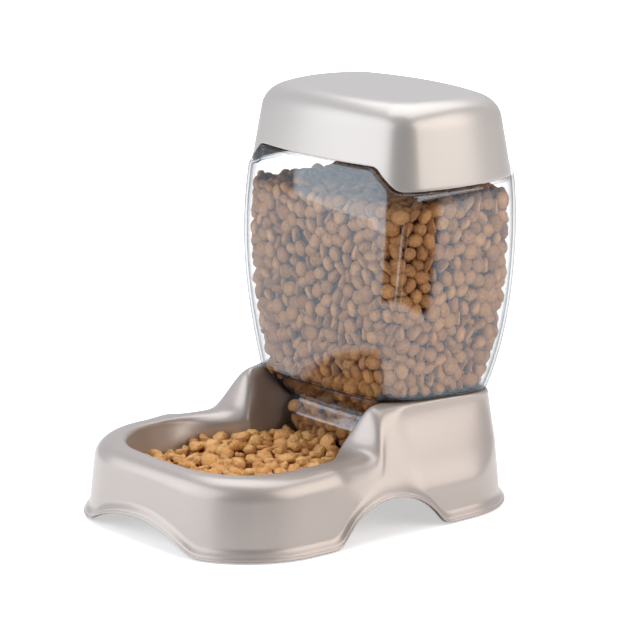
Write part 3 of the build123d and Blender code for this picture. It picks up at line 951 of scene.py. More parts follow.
    def inner_edges(self) -> Floats:
        """Four inner edges of the right half: mouth, upper ledge, lower ledge and floor.

        In the bowl the wall leans in down to the floor. Between the horns it leans in to the spout's height
        and then stands upright. Under the hopper it is the pocket for the neck, its ledge and the funnel.

        Returns:
            Edges by coordinates by columns.
        """
        ahead, blend, horn, back, beside = self.SIDE_COUNTS
        shares = np.linspace(0.0, 1.0, FINE)
        corner_x, corner_y = self.bowl.half(Walk.one_corner(3))
        throat_share = float(np.interp(-self.throat_half, -corner_x, shares))
        turn_y = corner_y[0]
        throat_y = float(np.interp(throat_share, shares, corner_y))
        bowl_walk = Walk.along([
            even_shares(self.FRONT_COUNT),
            even_shares(self.CORNER_COUNT),
            even_shares(ahead),
            np.linspace(0.0, throat_share, blend, endpoint=False),
            np.zeros(0),
        ])
        bowl_x, bowl_y = self.bowl.half(bowl_walk)
        horn_y = np.linspace(throat_y, self.throat_rear, horn, endpoint=False)
        plain_x = np.concatenate([bowl_x, np.full(horn, self.throat_half)])
        plain_y = np.concatenate([bowl_y, horn_y])
        turn = np.concatenate([bowl_walk.turn, np.full(horn, QUARTER)])
        rise = (self.top(plain_y, 1.0) - self.throat_height) / self.throat_rise
        flare = self.throat_flare * np.clip(rise, 0.0, 1.0)
        in_throat = ease((turn_y - plain_y) / (turn_y - throat_y))
        in_throat[: self.FRONT_COUNT + self.CORNER_COUNT] = 0.0
        flared_x = soft_most(plain_x, self.throat_half + flare, self.throat_soft)
        mouth_x = np.where(in_throat > 0.0, flared_x, plain_x)
        wall_top = self.rim - self.mouth_rounds[0][1]
        drop = self.bowl_floor - self.throat_height
        edges = []
        for share in (1 / 3, 2 / 3, 1.0):
            drawn = self.bowl_lean * share * (1 - in_throat)
            leaning = wall_top + (self.bowl_floor - wall_top) * share
            upright = self.throat_height + drop * max(share - 1 / 3, 0.0) * 1.5
            height = leaning + (np.maximum(upright, self.floor(plain_y)) - leaning) * in_throat
            edges.append((plain_x - drawn * np.sin(turn), plain_y + drawn * np.cos(turn), height))
        pocket = self.pocket_path(self.pocket, self.throat_half + self.throat_flare, back, beside)
        ledge = self.pocket_path(self.ledge, self.throat_half, back, beside)
        inner = self.pocket_path(self.ledge.grown(-self.ledge_width), self.throat_half, back, beside)
        level = np.full(pocket[0].shape, self.ledge_height)
        mouth_y = np.concatenate([plain_y, pocket[1]])
        mouth = np.stack([np.concatenate([mouth_x, pocket[0]]), mouth_y, self.top(mouth_y, 1.0)])
        rear_edges = [(*ledge, level), (*inner, level), (*inner, self.floor(inner[1]))]
        lower = [
            np.stack([np.concatenate(pair) for pair in zip(front, rear)])
            for front, rear in zip(edges, rear_edges)
        ]
        return np.stack([mouth, *lower])

    def pocket_path(self, plan: Outline, start_x: float, back: int, beside: int) -> tuple[Floats, Floats]:
        """Rear part of an outline under the hopper.

        Args:
            plan: the outline.
            start_x: half width of the throat, at which the path leaves its side.
            back: number of columns in the front corner.
            beside: number of columns along the side.

        Returns:
            X and Y of the columns.
        """
        first = float(np.interp(start_x, plan.half(Walk.one_corner(1))[0], np.linspace(0.0, 1.0, FINE)))
        return plan.half(Walk.along([
            np.zeros(0),
            np.linspace(first, 1.0, back, endpoint=False),
            even_shares(beside),
            even_shares(self.REAR_CORNER_COUNT),
            np.linspace(0.0, 1.0, self.REAR_COUNT),
        ]))

    def top_rows(self, edge: Floats, mouth: Floats, radius: Floats) -> Floats:
        """Rows from the outer edge over the rim to the mouth: a rounding, a level part and a rounding.

        Args:
            edge: outer edge, columns by coordinates.
            mouth: inner edge, coordinates by columns.
            radius: radius of the outer rounding for each column.

        Returns:
            Rows by columns by coordinates.
        """
        across = mouth[:2].T - edge[:, :2]
        width = np.linalg.norm(across, axis=1)
        inward = across / width[:, None]
        places, radii = zip(*self.mouth_rounds)
        inner_radius = np.minimum(np.interp(mouth[1], places, radii), self.mouth_share * width)
        angles = quarter_turn(9, 1)
        start_ways = radius * (1 - np.cos(angles))
        start_drops = radius * (1 - np.sin(angles))
        level_ways = radius + (width - radius - inner_radius) * rows_to_one(9, 1)[:-1]
        angles = quarter_turn(8)
        end_ways = width - inner_radius * (1 - np.sin(angles))
        end_drops = inner_radius * (1 - np.cos(angles))
        ways = np.concatenate([start_ways, level_ways, end_ways])
        drops = np.concatenate([start_drops, 0.0 * level_ways, end_drops])
        plan = edge[None, :, :2] + ways[:, :, None] * inward
        height = self.top(plan[..., 1], ways / width) - drops
        return np.concatenate([plan, height[..., None]], axis=-1)

    def worn(self, points: Floats) -> Floats:
        """Rounds the horns and the bowl's rear corners: points move to the middle of their neighbours.

        Args:
            points: rows by columns by coordinates.

        Returns:
            The moved points.
        """
        y, z = points[1:-1, 1:-1, 1], points[1:-1, 1:-1, 2]
        along = ease((y - self.worn_from) / self.worn_fade) * ease((self.worn_to - y) / self.worn_fade)
        share = (0.5 * along * ease((z - self.worn_low) / self.worn_fade))[..., None]
        points = points.copy()
        for _ in range(self.worn_passes):
            beside = points[1:-1, :-2] + points[1:-1, 2:] + points[:-2, 1:-1] + points[2:, 1:-1]
            points[1:-1, 1:-1] += share * (beside / 4 - points[1:-1, 1:-1])
        return points

    def points(self) -> Floats:
        """All rows, from the lower edge of the skirt over the rim to the middle of the bowl's floor.

        Returns:
            Rows by columns by coordinates.
        """
        skirt, radius = self.skirt_rows()
        edges = self.inner_edges()
        over = self.top_rows(skirt[-1], edges[0], radius)
        corners = [over[-1], *(edge.T for edge in edges[1:])]
        walls = [
            start + (end - start) * rows_to_one(6, 1)[..., None]
            for start, end in zip(corners, corners[1:])
        ]
        inward = np.linspace(1.0, 0.0, 9)[1:, None, None]
        ground = corners[-1] * np.concatenate([inward, np.ones_like(inward), np.ones_like(inward)], axis=-1)
        half = self.worn(np.concatenate([skirt, over, *walls, ground]))
        by_coordinate = np.moveaxis(both_halves(half), -1, 0)
        return np.moveaxis(even_out(by_coordinate, self.SHELL_PASSES), 0, -1)

    def build(self, finish: bpy.types.Material) -> None:
        """Makes the moulding.

        Args:
            finish: its plastic.
        """
        shell = sheet("base_shell", self.points())
        thicken(shell, self.wall)
        dress(shell, finish, Slot.BASE, Body.BASE, "base")


@dataclass
class LidCap:
    """Lid: a cap with a scooped lower edge at the front and the rear."""

    edge: float = 227.0
    height: float = 289.0
    lower: Outline = Outline(9.0, 143.5, 93.0, 93.0, 33.0, 33.0, 10.5)
    lean: float = 9.5
    wall: float = 2.4
    top_round: float = 20.0
    crown: float = 0.5
    side_edge: float = 231.0
    scoop_edge: float = 246.5
    scoop_half: float = 62.0
    scoop_run: float = 16.0
    scoop_round: float = 8.0
    scoop_level: float = 10.0  # height over the edge at which the scoop is measured
    edge_round: float = 0.6

    def outline(self, height: Size, grow: Size = 0.0) -> Outline:
        """Outside of the lid at a height."""
        return self.lower.grown(grow - self.lean * (height - self.edge) / (self.height - self.edge))

    def lower_edge(self, x: Floats) -> Floats:
        """Height of the lower edge, which is scooped up between the corners of the front and the rear.

        Args:
            x: places across the lid.

        Returns:
            One height for each place.
        """
        corners = [
            (0.0, self.scoop_edge),
            (self.scoop_half, self.scoop_edge),
            (self.scoop_half + self.scoop_run, self.side_edge),
            (FAR / 2, self.side_edge),
        ]
        return rounded_line(corners, self.scoop_round, np.abs(x))

    def points(self, walk: Walk) -> Floats:
        """Rows from the lower edge up the side, over the rounding and to the middle of the top.

        Args:
            walk: where on the outline the columns are.

        Returns:
            Rows by columns by coordinates.
        """
        steepness = math.atan2(self.lean, self.height - self.edge)
        shoulder = self.height - self.crown - self.top_round * (1 - math.sin(steepness))
        bottom = self.lower_edge(self.outline(self.edge + self.scoop_level).half(walk)[0])
        heights = bottom + (shoulder - bottom) * rows_to_one(18)
        rows = [np.stack([*self.outline(heights).half(walk), heights], axis=-1)]
        angles = np.linspace(steepness, QUARTER, 14)[1:, None]
        inset = self.top_round * (np.cos(angles) - math.cos(steepness))
        rounded = shoulder + self.top_round * (np.sin(angles) - math.sin(steepness))
        x, y = self.outline(shoulder, inset).half(walk)
        rows.append(np.stack([x, y, rounded + 0.0 * x], axis=-1))
        middle = np.array([0.0, (self.lower.front + self.lower.rear) / 2, self.height])
        shares = rows_to_one(12, 1)[..., None]
        flat = rows[-1][-1] + (middle - rows[-1][-1]) * shares
        flat[..., 2] = self.height - self.crown * (1 - shares[..., 0]) ** 2
        rows.append(flat)
        return both_halves(np.concatenate(rows))

    def build(self, finish: bpy.types.Material) -> None:
        """Makes the lid.

        Args:
            finish: its plastic.
        """
        cap = sheet("lid_cap", self.points(Walk.even(26, 26)))
        thicken(cap, self.wall)
        soften(cap, self.edge_round)
        dress(cap, finish, Slot.LID, Body.LID, "lid")


@dataclass
class HopperShell:
    """Clear hopper: bulging body, shoulder and collar under the lid, tapered neck and spout.

    The body is given by five sections, each with its height, half width, front, rear and corner radius. The
    spout's profile is pairs of a Y and a Z.
    """

    lid: LidCap
    base: BaseShell
    heights: tuple[float, ...] = (72.0, 115.0, 180.0, 227.0, 262.0)
    halves: tuple[float, ...] = (78.0, 86.3, 93.0, 92.8, 87.6)
    fronts: tuple[float, ...] = (13.0, 8.5, 6.0, 9.0, 14.4)
    rears: tuple[float, ...] = (126.5, 139.0, 143.45, 143.45, 138.14)
    corners: tuple[float, ...] = (28.0, 28.0, 28.0, 32.0, 28.0)
    bow: float = 8.0
    wall: float = 2.0
    seam: float = 0.3
    lid_gap: float = 0.8
    collar_gap: float = 2.9
    collar_top: float = 262.0
    lower_round: float = 2.2
    upper_round: float = 2.6
    neck_low: float = 62.0
    neck_high: float = 87.0
    neck: Outline = Outline(32.5, 113.5, 64.0, 64.0, 22.0, 22.0, 3.0)
    neck_taper: float = 8.0
    neck_slope: float = 18.5
    spout_half: float = 47.5
    spout_corner: float = 4.0
    spout_profile: Pairs = (
        (33.2, 66.0), (32.5, 64.0), (29.8, 60.6), (27.0, 57.0), (25.6, 55.2), (24.9, 54.3), (24.6, 53.6),
        (24.5, 52.8), (24.5, 51.5), (24.5, 47.0), (24.5, 43.4), (24.5, 42.5),
    )
    spout_back: float = 36.0
    spout_round: float = 0.5

    ARC = 0.8  # radius of a square corner that lies about as far out as the wide one between bowed sides

    def section(self, height: Size, grow: Size = 0.0) -> Outline:
        """Outside of the body: curves of the fourth degree through the five sections.

        Args:
            height: heights on the body.
            grow: how far the outline is moved outward.

        Returns:
            The outline at those heights.
        """
        low, high = self.heights[0], self.heights[-1]
        knots = (np.array(self.heights) - low) / (high - low)
        share = (np.asarray(height) - low) / (high - low)
        half, front, rear, corner = (
            np.polyval(np.polyfit(knots, values, 4), share)
            for values in (self.halves, self.fronts, self.rears, self.corners)
        )
        return Outline(front, rear, half, half, corner, corner, self.bow).grown(grow)

    def neck_at(self, height: Size) -> Outline:
        """Outside of the neck, which widens upward.

        Args:
            height: heights on the neck.

        Returns:
            The outline at those heights.
        """
        share = (height - self.neck_low) / (self.neck_high - self.neck_low)
        half = self.neck.front_half + self.neck_taper * share
        corner = self.neck.front_corner + 0.0 * share
        front = self.neck.front - self.neck_slope * share
        rear = self.neck.rear + self.neck_taper * share
        return Outline(front, rear, half, half, corner, corner, self.neck.bow)

    def points(self, walk: Walk) -> Floats:
        """Rows from the neck's lower edge over the underside, the body and the shoulder up to the collar.

        Args:
            walk: where on the outline the columns are.

        Returns:
            Rows by columns by coordinates.
        """
        _, y = self.section(self.heights[1]).half(walk)
        seat = self.base.top(np.maximum(y, self.base.seat_from)) + self.seam
        shoulder = self.lid.lower_edge(self.lid.outline(self.lid.edge).half(walk)[0]) - self.lid_gap
        neck_heights = self.neck_low + (seat - self.neck_low) * rows_to_one(6)
        rows = [(*self.neck_at(neck_heights).half(walk), neck_heights)]
        angles = quarter_turn(6)
        heights = seat + self.lower_round * (1 - np.cos(angles))
        rows.append((*self.section(heights, self.lower_round * (np.sin(angles) - 1)).half(walk), heights))
        low = seat + self.lower_round
        high = shoulder - self.upper_round
        heights = low + (high - low) * rows_to_one(44, 1)
        rows.append((*self.section(heights).half(walk), heights))
        angles = quarter_turn(6, 1)
        heights = high + self.upper_round * np.sin(angles)
        rows.append((*self.section(heights, self.upper_round * (np.cos(angles) - 1)).half(walk), heights))
        heights = shoulder + (self.collar_top - shoulder) * rows_to_one(8)
        rows.append((*self.lid.outline(heights, -self.collar_gap).half(walk), heights))
        return both_halves(np.concatenate([np.stack(np.broadcast_arrays(*row), axis=-1) for row in rows]))

    def spout_points(self) -> Floats:
        """Rows up the spout's profile; the columns run around it, from one rear end to the other.

        Returns:
            Rows by columns by coordinates.
        """
        profile_y, profile_z = np.array(self.spout_profile[::-1]).T[:, :, None]
        turn = np.linspace(0.0, QUARTER, 7)
        corner = self.spout_corner
        back = self.spout_back + 0.0 * profile_y
        side_x = np.full(4, self.spout_half)
        side_y = back + (profile_y + corner - back) * np.linspace(0.0, 1.0, 4)
        arc_x = self.spout_half - corner * (1 - np.cos(turn))
        arc_y = profile_y + corner * (1 - np.sin(turn))
        front_x = np.linspace(self.spout_half - corner, 0.0, 16)[1:]
        front_y = profile_y + 0.0 * front_x
        right_x = np.concatenate([side_x, arc_x[1:], front_x])
        right_y = np.concatenate([side_y, arc_y[:, 1:], front_y], axis=1)
        y = np.concatenate([right_y, right_y[:, -2::-1]], axis=1)
        x = np.concatenate([-right_x, right_x[-2::-1]]) + 0.0 * y
        return np.stack([x, y, profile_z + 0.0 * x], axis=-1)

    def build(self, finish: bpy.types.Material) -> None:
        """Makes the body and the spout.

        Args:
            finish: their plastic.
        """
        body = sheet("hopper_body", self.points(Walk.even(26, 22)))
        thicken(body, self.wall)
        dress(body, finish, Slot.CLEAR, Body.HOPPER, "hopper")
        spout = sheet("hopper_spout", self.spout_points(), closed=False)
        thicken(spout, self.wall)
        soften(spout, self.spout_round)
        dress(spout, finish, Slot.CLEAR, Body.HOPPER, "hopper")

    def depth(self, points: Floats) -> tuple[Floats, Floats]:
        """How deep points lie behind the inside of the wall.

        Args:
            points: points by coordinates.

        Returns:
            The depths, and the level direction outward at each point.
        """
        plan = self.section(points[:, 2], -self.wall)
        half_y = (plan.rear - plan.front) / 2
        offset = points[:, :2] - np.stack([0.0 * half_y, (plan.rear + plan.front) / 2], axis=1)
        halves = np.stack([plan.front_half, half_y], axis=1)
        bowed = halves - self.bow * (offset[:, ::-1] / halves[:, ::-1]) ** 2
        return depth_inside(offset, bowed, self.ARC * plan.front_corner)


@dataclass(frozen=True)
class Pellet:
    """One piece of dry food: a round button with a domed top and bottom."""

    radius: float = 5.7
    half_height: float = 2.4
    around: int = 12

    TONE = "tone"
    # nearness to the rim, which the food's finish turns into painted shade at each piece's edge
    RIM = "rim"
    RINGS = ((0.79, 0.95), (1.0, 0.46), (1.0, -0.46), (0.79, -0.95))
    SIZE_SPREAD = 0.08
    SIZE_LIMITS = (0.82, 1.15)
    SHAPE_SPREAD = 0.25
    SHAPE_LIMITS = (0.75, 1.25)
    PUSH = 0.4  # share of an overlap that each of two buttons gives way by

    def points(self) -> Floats:
        """Button at the origin: a pole, four rings and a pole.

        Returns:
            Points by coordinates.
        """
        angles = np.arange(self.around) * (4 * QUARTER / self.around)
        rings = [
            np.stack([r * np.cos(angles), r * np.sin(angles), np.full(self.around, z)], axis=1)
            for r, z in self.RINGS
        ]
        poles = np.array([[0.0, 0.0, 1.0], [0.0, 0.0, -1.0]])
        sizes = np.array([self.radius, self.radius, self.half_height])
        return np.concatenate([poles[:1], *rings, poles[1:]]) * sizes

    def faces(self) -> list[list[int]]:
        """Faces of the button, seen from outside: a fan, bands between the rings and a fan.

        Returns:
            Corners of each face.
        """
        count = self.around
        step = np.arange(count)
        after = (step + 1) % count
        last = 1 + len(self.RINGS) * count
        low = last - count
        faces = np.stack([0 * step, 1 + step, 1 + after], axis=1).tolist()
        for start in range(1, low, count):
            below = start + count
            faces += np.stack([start + step, below + step, below + after, start + after], axis=1).tolist()
        return faces + np.stack([last + 0 * step, low + after, low + step], axis=1).tolist()

    def reach(self, axes: Floats, direction: Floats) -> Floats:
        """How far a button reaches along a direction, taken as a flattened ball."""
        lean = (axes * direction).sum(axis=1)
        return np.sqrt(self.radius**2 * (1 - lean**2) + self.half_height**2 * lean**2)

    def push_apart(self, centres: Floats, axes: Floats, closeness: float) -> Floats:
        """Moves that part buttons which overlap, from the reach of both along the line between them.

        Args:
            centres: where the buttons lie.
            axes: direction of each button's height.
            closeness: share of both reaches at which two buttons count as touching.

        Returns:
            One move for each button.
        """
        centres = centres.astype(np.float32)
        axes = axes.astype(np.float32)
        squares = (centres**2).sum(axis=1)
        apart = np.sqrt(np.maximum(squares[:, None] + squares - 2 * centres @ centres.T, 1e-4))
        lean = axes @ centres.T
        lean = (lean - np.diag(lean)[:, None]) / apart
        flatter = self.radius**2 - self.half_height**2
        reach = np.sqrt(self.radius**2 - flatter * np.minimum(lean**2, 1.0))
        overlap = np.maximum(closeness * (reach + reach.T) - apart, 0.0)
        np.fill_diagonal(overlap, 0.0)
        share = self.PUSH * overlap / apart
        return (centres * share.sum(axis=1)[:, None] - share @ centres).astype(np.float64)

    def heap(self, name: str, centres: Floats, axes: Floats, seed: int, rough: float) -> bpy.types.Object:
        """Mesh of many buttons, each a little different in size, shape and tone.

        Args:
            name: name of the mesh.
            centres: where the buttons lie.
            axes: direction of each button's height.
            seed: start of the random numbers.
            rough: how uneven the buttons are.

        Returns:
            The piece, with the tone of each button and the nearness to its rim as attributes.
        """
        random = np.random.default_rng(seed)
        count = len(centres)
        shape = self.points()
        helper = np.where(np.abs(axes[:, 2:]) < 0.9, [[0.0, 0.0, 1.0]], [[1.0, 0.0, 0.0]])
        first = np.cross(helper, axes)
        first /= np.linalg.norm(first, axis=1, keepdims=True)
        frames = np.stack([first, np.cross(axes, first), axes], axis=1)
        whole = random.normal(1.0, self.SIZE_SPREAD, (count, 1, 1)).clip(*self.SIZE_LIMITS)
        uneven = random.normal(1.0, self.SHAPE_SPREAD * rough, (count, 1, 3)).clip(*self.SHAPE_LIMITS)
        wobble = random.normal(0.0, rough, (count, len(shape), 3)).clip(-2.0 * rough, 2.0 * rough)
        placed = np.einsum("nvk,nkc->nvc", shape * (whole * uneven) + wobble, frames) + centres[:, None]
        faces = self.faces()
        starts = (np.arange(count) * len(shape)).tolist()
        everything = [[corner + start for corner in face] for start in starts for face in faces]
        mesh = bpy.data.meshes.new(name)
        mesh.from_pydata((placed.reshape(-1, 3) * METRES).tolist(), [], everything)
        smooth(mesh)
        outermost = np.hypot(shape[:, 0], shape[:, 1]) / self.radius
        marks = {
            self.TONE: np.repeat(random.random(count), len(shape)),
            # nearness to the rim, for the painted shade at each button's edge
            self.RIM: np.tile(outermost**3, count),
        }
        for mark, values in marks.items():
            attribute = mesh.attributes.new(mark, "FLOAT", "POINT")
            attribute.data.foreach_set("value", values.astype(np.float32))
        LOG.info("%s: %d pieces of food", name, count)
        return put_in_scene(name, mesh)


def random_axes(random: np.random.Generator, count: int, towards: Floats, pull: float) -> Floats:
    """Random directions that lean towards given ones.

    Args:
        random: source of the random numbers.
        count: number of directions.
        towards: the given direction for each.
        pull: how strongly it leans.

    Returns:
        Directions by coordinates.
    """
    loose = random.normal(size=(count, 3))
    loose /= np.linalg.norm(loose, axis=1, keepdims=True)
    axes = loose + pull * towards * np.sign((loose * towards).sum(axis=1, keepdims=True))
    return axes / np.linalg.norm(axes, axis=1, keepdims=True)


@dataclass
class Food:
    """Dry food in the hopper and in the bowl: buttons where they are seen, a dark core of painted shade
    behind them.

    A layer is the depth that its buttons keep to, and a gap is how far they stay from a wall. A cloud is the
    number of places that the buttons are picked from, between a low and a high corner. A pull is how
    strongly they lie flat, and a start is the least depth of a picked place.
    """

    hopper: HopperShell
    base: BaseShell
    pellet: Pellet = Pellet()
    level: float = 219.0
    layer: float = 13.5
    gap: float = 4.0
    closeness: float = 0.98
    wall_cloud: int = 40000
    wall_low: Place = (-90.0, 8.0, 80.0)
    wall_high: tuple[float, float] = (90.0, 144.0)
    wall_start: float = 3.0
    wall_pull: float = 0.75
    wall_count: int = 1290
    wall_rough: float = 0.18
    top_uneven: float = 1.5
    seat_from: float = 25.0
    seat_gap: float = 2.6
    seat_share: float = 0.8
    top_count: int = 380
    spout_count: int = 128
    spout_rough: float = 0.22
    spout_span: tuple[float, float] = (40.0, 86.0)
    spout_heights: tuple[float, ...] = (55.0, 66.0, 86.0)
    spout_halves: tuple[float, ...] = (38.5, 48.0, 52.0)
    spout_start: float = 8.0
    spout_facing: Place = (0.0, -0.8, 0.6)
    spout_pull: float = 0.4
    spout_gap: float = 0.3
    spout_layer_depth: float = 9.0
    spout_limits: tuple[float, float] = (42.0, 87.0)
    bowl_cloud: int = 9000
    bowl_low: Place = (-68.0, -106.0, 24.0)
    bowl_high: Place = (68.0, 30.0, 44.0)
    bowl_start: float = 4.0
    bowl_pull: float = 0.9
    bowl_count: int = 400
    bowl_uneven: float = 1.2
    bowl_end: float = 40.0
    horn_from: float = -6.0
    horn_half: float = 44.0
    bowl_rough: float = 0.5
    bowl_layer_depth: float = 14.0
    bowl_gap: float = 0.3
    bowl_closeness: float = 0.94
    bowl_rear: float = 60.0
    heap_low: float = 36.5
    heap_rise: float = 5.5
    heap_from: float = -100.0
    heap_run: float = 120.0
    lump_height: float = 1.2
    lump_lengths: tuple[float, float] = (17.0, 21.0)
    core_inset: float = 9.0
    core_foot: float = 80.0
    core_middle: float = 76.0
    bed_plan: Outline = Outline(-99.0, 52.0, 63.0, 44.0, 36.0, 8.0, 2.0)
    bed_depth: float = 7.5
    bed_middle: float = -30.0
    bed_gap: float = 1.0
    wedge_profile: Pairs = ((46.0, 40.0), (43.0, 52.0), (48.0, 62.0), (40.0, 74.0), (28.0, 86.0))
    wedge_halves: tuple[float, ...] = (44.0, 44.0, 54.0, 62.0, 66.0)
    wedge_wall: float = 2.0
    rounds: int = 60
    quick_rounds: int = 6
    seed: int = 7

    def passes(self) -> range:
        """Rounds in which the buttons are pushed apart."""
        return range(self.rounds)

    def wall_layer(self) -> tuple[Floats, Floats]:
        """Buttons behind the hopper's walls and on top of its food.

        They start at random and are pushed apart, away from the wall and back into their layer.

        Returns:
            Centres and axes of the buttons.
        """
        random = np.random.default_rng(self.seed)
        high = (*self.wall_high, self.level)
        cloud = random.uniform(self.wall_low, high, (self.wall_cloud, 3))
        depth, outward = self.hopper.depth(cloud)
        at_wall = np.flatnonzero((depth > self.wall_start) & (depth < self.layer))[: self.wall_count]
        highest = cloud[:, 2] > self.level - self.layer
        on_top = np.flatnonzero((depth >= self.layer) & highest)[: self.top_count]
        chosen = np.concatenate([at_wall, on_top])
        centres, outward = cloud[chosen], outward[chosen]
        is_top = np.arange(len(chosen)) >= len(at_wall)
        outward[is_top] = UP
        axes = random_axes(random, len(chosen), outward, self.wall_pull)
        upward = np.tile(UP, (len(chosen), 1))
        surface = self.level + random.normal(0.0, self.top_uneven, len(chosen))
        for _ in self.passes():
            centres = centres + self.pellet.push_apart(centres, axes, self.closeness)
            depth, outward = self.hopper.depth(centres)
            reach = self.pellet.reach(axes, outward) + self.gap
            too_near = np.maximum(reach - depth, 0.0)
            too_deep = np.where(is_top, 0.0, np.maximum(depth - self.layer, 0.0))
            centres = centres + outward * (too_deep - too_near)[:, None]
            tall = self.pellet.reach(axes, upward)
            ground = self.base.top(np.maximum(centres[:, 1], self.seat_from)) + self.seat_gap
            lowest = np.where(is_top, self.level - self.layer, ground + self.seat_share * tall)
            centres[:, 2] = np.clip(centres[:, 2], lowest, np.maximum(surface - tall, lowest))
        return centres, axes

    def spout_reach(self, height: Floats) -> Floats:
        """How far from the middle of the spout its buttons lie at a height."""
        return np.interp(height, self.spout_heights, self.spout_halves)

    def spout_layer(self) -> tuple[Floats, Floats]:
        """Buttons behind the sloping front wall and in the spout.

        Returns:
            Centres and axes of the buttons.
        """
        random = np.random.default_rng(self.seed + 1)
        places = np.array(self.hopper.spout_profile)[::-1]
        heights = np.concatenate([places[:, 1], [self.hopper.neck_high]])
        fronts = np.concatenate([places[:, 0], [self.hopper.neck.front - self.hopper.neck_slope]])
        count = self.spout_count
        z = random.uniform(*self.spout_span, count)
        x = random.uniform(-1.0, 1.0, count) * self.spout_reach(z)
        centres = np.stack([x, np.interp(z, heights, fronts) + self.spout_start, z], axis=1)
        ahead = np.tile(self.spout_facing, (count, 1))
        axes = random_axes(random, count, ahead, self.spout_pull)
        for _ in self.passes():
            centres = centres + self.pellet.push_apart(centres, axes, self.closeness)
            front = np.interp(centres[:, 2], heights, fronts) + self.hopper.wall
            nearest = front + (self.pellet.reach(axes, ahead) + self.spout_gap)
            centres[:, 1] = np.clip(centres[:, 1], nearest, nearest + self.spout_layer_depth)
            centres[:, 2] = np.clip(centres[:, 2], *self.spout_limits)
            half = self.spout_reach(centres[:, 2])
            centres[:, 0] = np.clip(centres[:, 0], -half, half)
        return centres, axes

    def heap_height(self, points: Floats) -> Floats:
        """Height of the food in the bowl: it rises to the throat, with low lumps.

        Args:
            points: points by coordinates.

        Returns:
            One height for each point.
        """
        x, y = points[:, 0], points[:, 1]
        across, along = self.lump_lengths
        slope = self.heap_low + self.heap_rise * ease((y - self.heap_from) / self.heap_run)
        return slope + self.lump_height * np.sin(x / across + 1.0) * np.sin(y / along)

    def bowl_depth(self, points: Floats) -> tuple[Floats, Floats]:
        """How deep points lie inside the bowl's wall, which is taken to run on into the throat.

        Args:
            points: points by coordinates.

        Returns:
            The depths, and the level direction outward at each point.
        """
        base, plan = self.base, self.base.bowl
        narrowing = base.bowl_lean * (base.rim - points[:, 2]) / (base.rim - base.bowl_floor)
        half = plan.front_half - narrowing
        half_y = (self.bowl_rear - plan.front - narrowing) / 2
        offset = points[:, :2] - np.stack([0.0 * half_y, self.bowl_rear - half_y], axis=1)
        return depth_inside(offset, np.stack([half, half_y], axis=1), plan.front_corner - narrowing)

    def bowl_layer(self) -> tuple[Floats, Floats]:
        """Buttons that lie in the bowl.

        Returns:
            Centres and axes of the buttons.
        """
        random = np.random.default_rng(self.seed + 2)
        cloud = random.uniform(self.bowl_low, self.bowl_high, (self.bowl_cloud, 3))
        depth, _ = self.bowl_depth(cloud)
        below = self.heap_height(cloud) - cloud[:, 2]
        in_layer = (below > 0.0) & (below < self.bowl_layer_depth)
        in_horn = (cloud[:, 1] > self.horn_from) & (np.abs(cloud[:, 0]) > self.horn_half)
        chosen = np.flatnonzero((depth > self.bowl_start) & in_layer & ~in_horn)[: self.bowl_count]
        centres = cloud[chosen]
        upward = np.tile(UP, (len(chosen), 1))
        axes = random_axes(random, len(chosen), upward, self.bowl_pull)
        loose = random.normal(0.0, self.bowl_uneven, len(chosen))
        ahead, blend, horn, _, _ = self.base.SIDE_COUNTS
        sides = slice(self.base.FRONT_COUNT + self.base.CORNER_COUNT, None)
        wall_x, wall_y, _ = self.base.inner_edges()[1, :, sides][:, : ahead + blend + horn]
        for _ in self.passes():
            centres = centres + self.pellet.push_apart(centres, axes, self.bowl_closeness)
            depth, outward = self.bowl_depth(centres)
            reach = self.pellet.reach(axes, outward) + self.bowl_gap
            centres = centres - outward * np.maximum(reach - depth, 0.0)[:, None]
            surface = self.heap_height(centres) + loose
            tall = self.pellet.reach(axes, upward)
            centres[:, 2] = np.clip(centres[:, 2], surface - self.bowl_layer_depth, surface - tall)
            centres[:, 1] = np.minimum(centres[:, 1], self.bowl_end)
            half = np.interp(centres[:, 1], wall_y, wall_x) - self.pellet.radius
            centres[:, 0] = np.clip(centres[:, 0], -half, half)
        return centres, axes

    def hopper_core(self) -> Floats:
        """Dark body of painted shade behind the wall layer, for the food in shade there: rows from its floor
        up its side and over its top.

        Returns:
            Rows by columns by coordinates.
        """
        top = self.level - self.core_inset
        heights = np.linspace(self.core_foot, top, 12)[:, None]
        x, y = self.hopper.section(heights, -self.hopper.wall - self.core_inset).half(Walk.even(10, 8))
        side = np.stack([x, y, heights + 0.0 * x], axis=-1)
        middle = np.array([0.0, self.core_middle, top])
        floor = np.array([0.0, self.core_middle, self.core_foot])
        shares = rows_to_one(6)[..., None]
        lid = side[-1] + (middle - side[-1]) * shares[1:]
        ground = floor + (side[0] - floor) * shares[:-1]
        return both_halves(np.concatenate([ground, side, lid]))

    def bowl_core(self) -> Floats:
        """Dark body of painted shade under the bowl layer, for the food in shade there: rows from its rim in
        to the middle.

        Returns:
            Rows by columns by coordinates.
        """
        rim = np.stack(self.bed_plan.half(Walk.even(10, 10)), axis=-1)
        shares = np.linspace(1.0, 0.0, 9)[:, None, None]
        middle = np.array([0.0, self.bed_middle])
        flat = middle + (rim - middle) * shares
        height = self.heap_height(flat.reshape(-1, 2)).reshape(flat.shape[:2]) - self.bed_depth
        half = np.concatenate([flat, height[..., None]], axis=-1)
        skirt = half[:1].copy()
        skirt[..., 2] = self.base.bowl_floor + self.bed_gap
        return both_halves(np.concatenate([skirt, half]))

    def spout_core(self) -> Floats:
        """Dark wedge of painted shade behind the spout's layer: rows from its foot to its head, columns
        across.

        Returns:
            Rows by columns by coordinates.
        """
        profile = np.array(self.wedge_profile)
        x = np.array(self.wedge_halves)[:, None] * np.linspace(-1.0, 1.0, 12)
        return np.stack([x, profile[:, :1] + 0.0 * x, profile[:, 1:] + 0.0 * x], axis=-1)

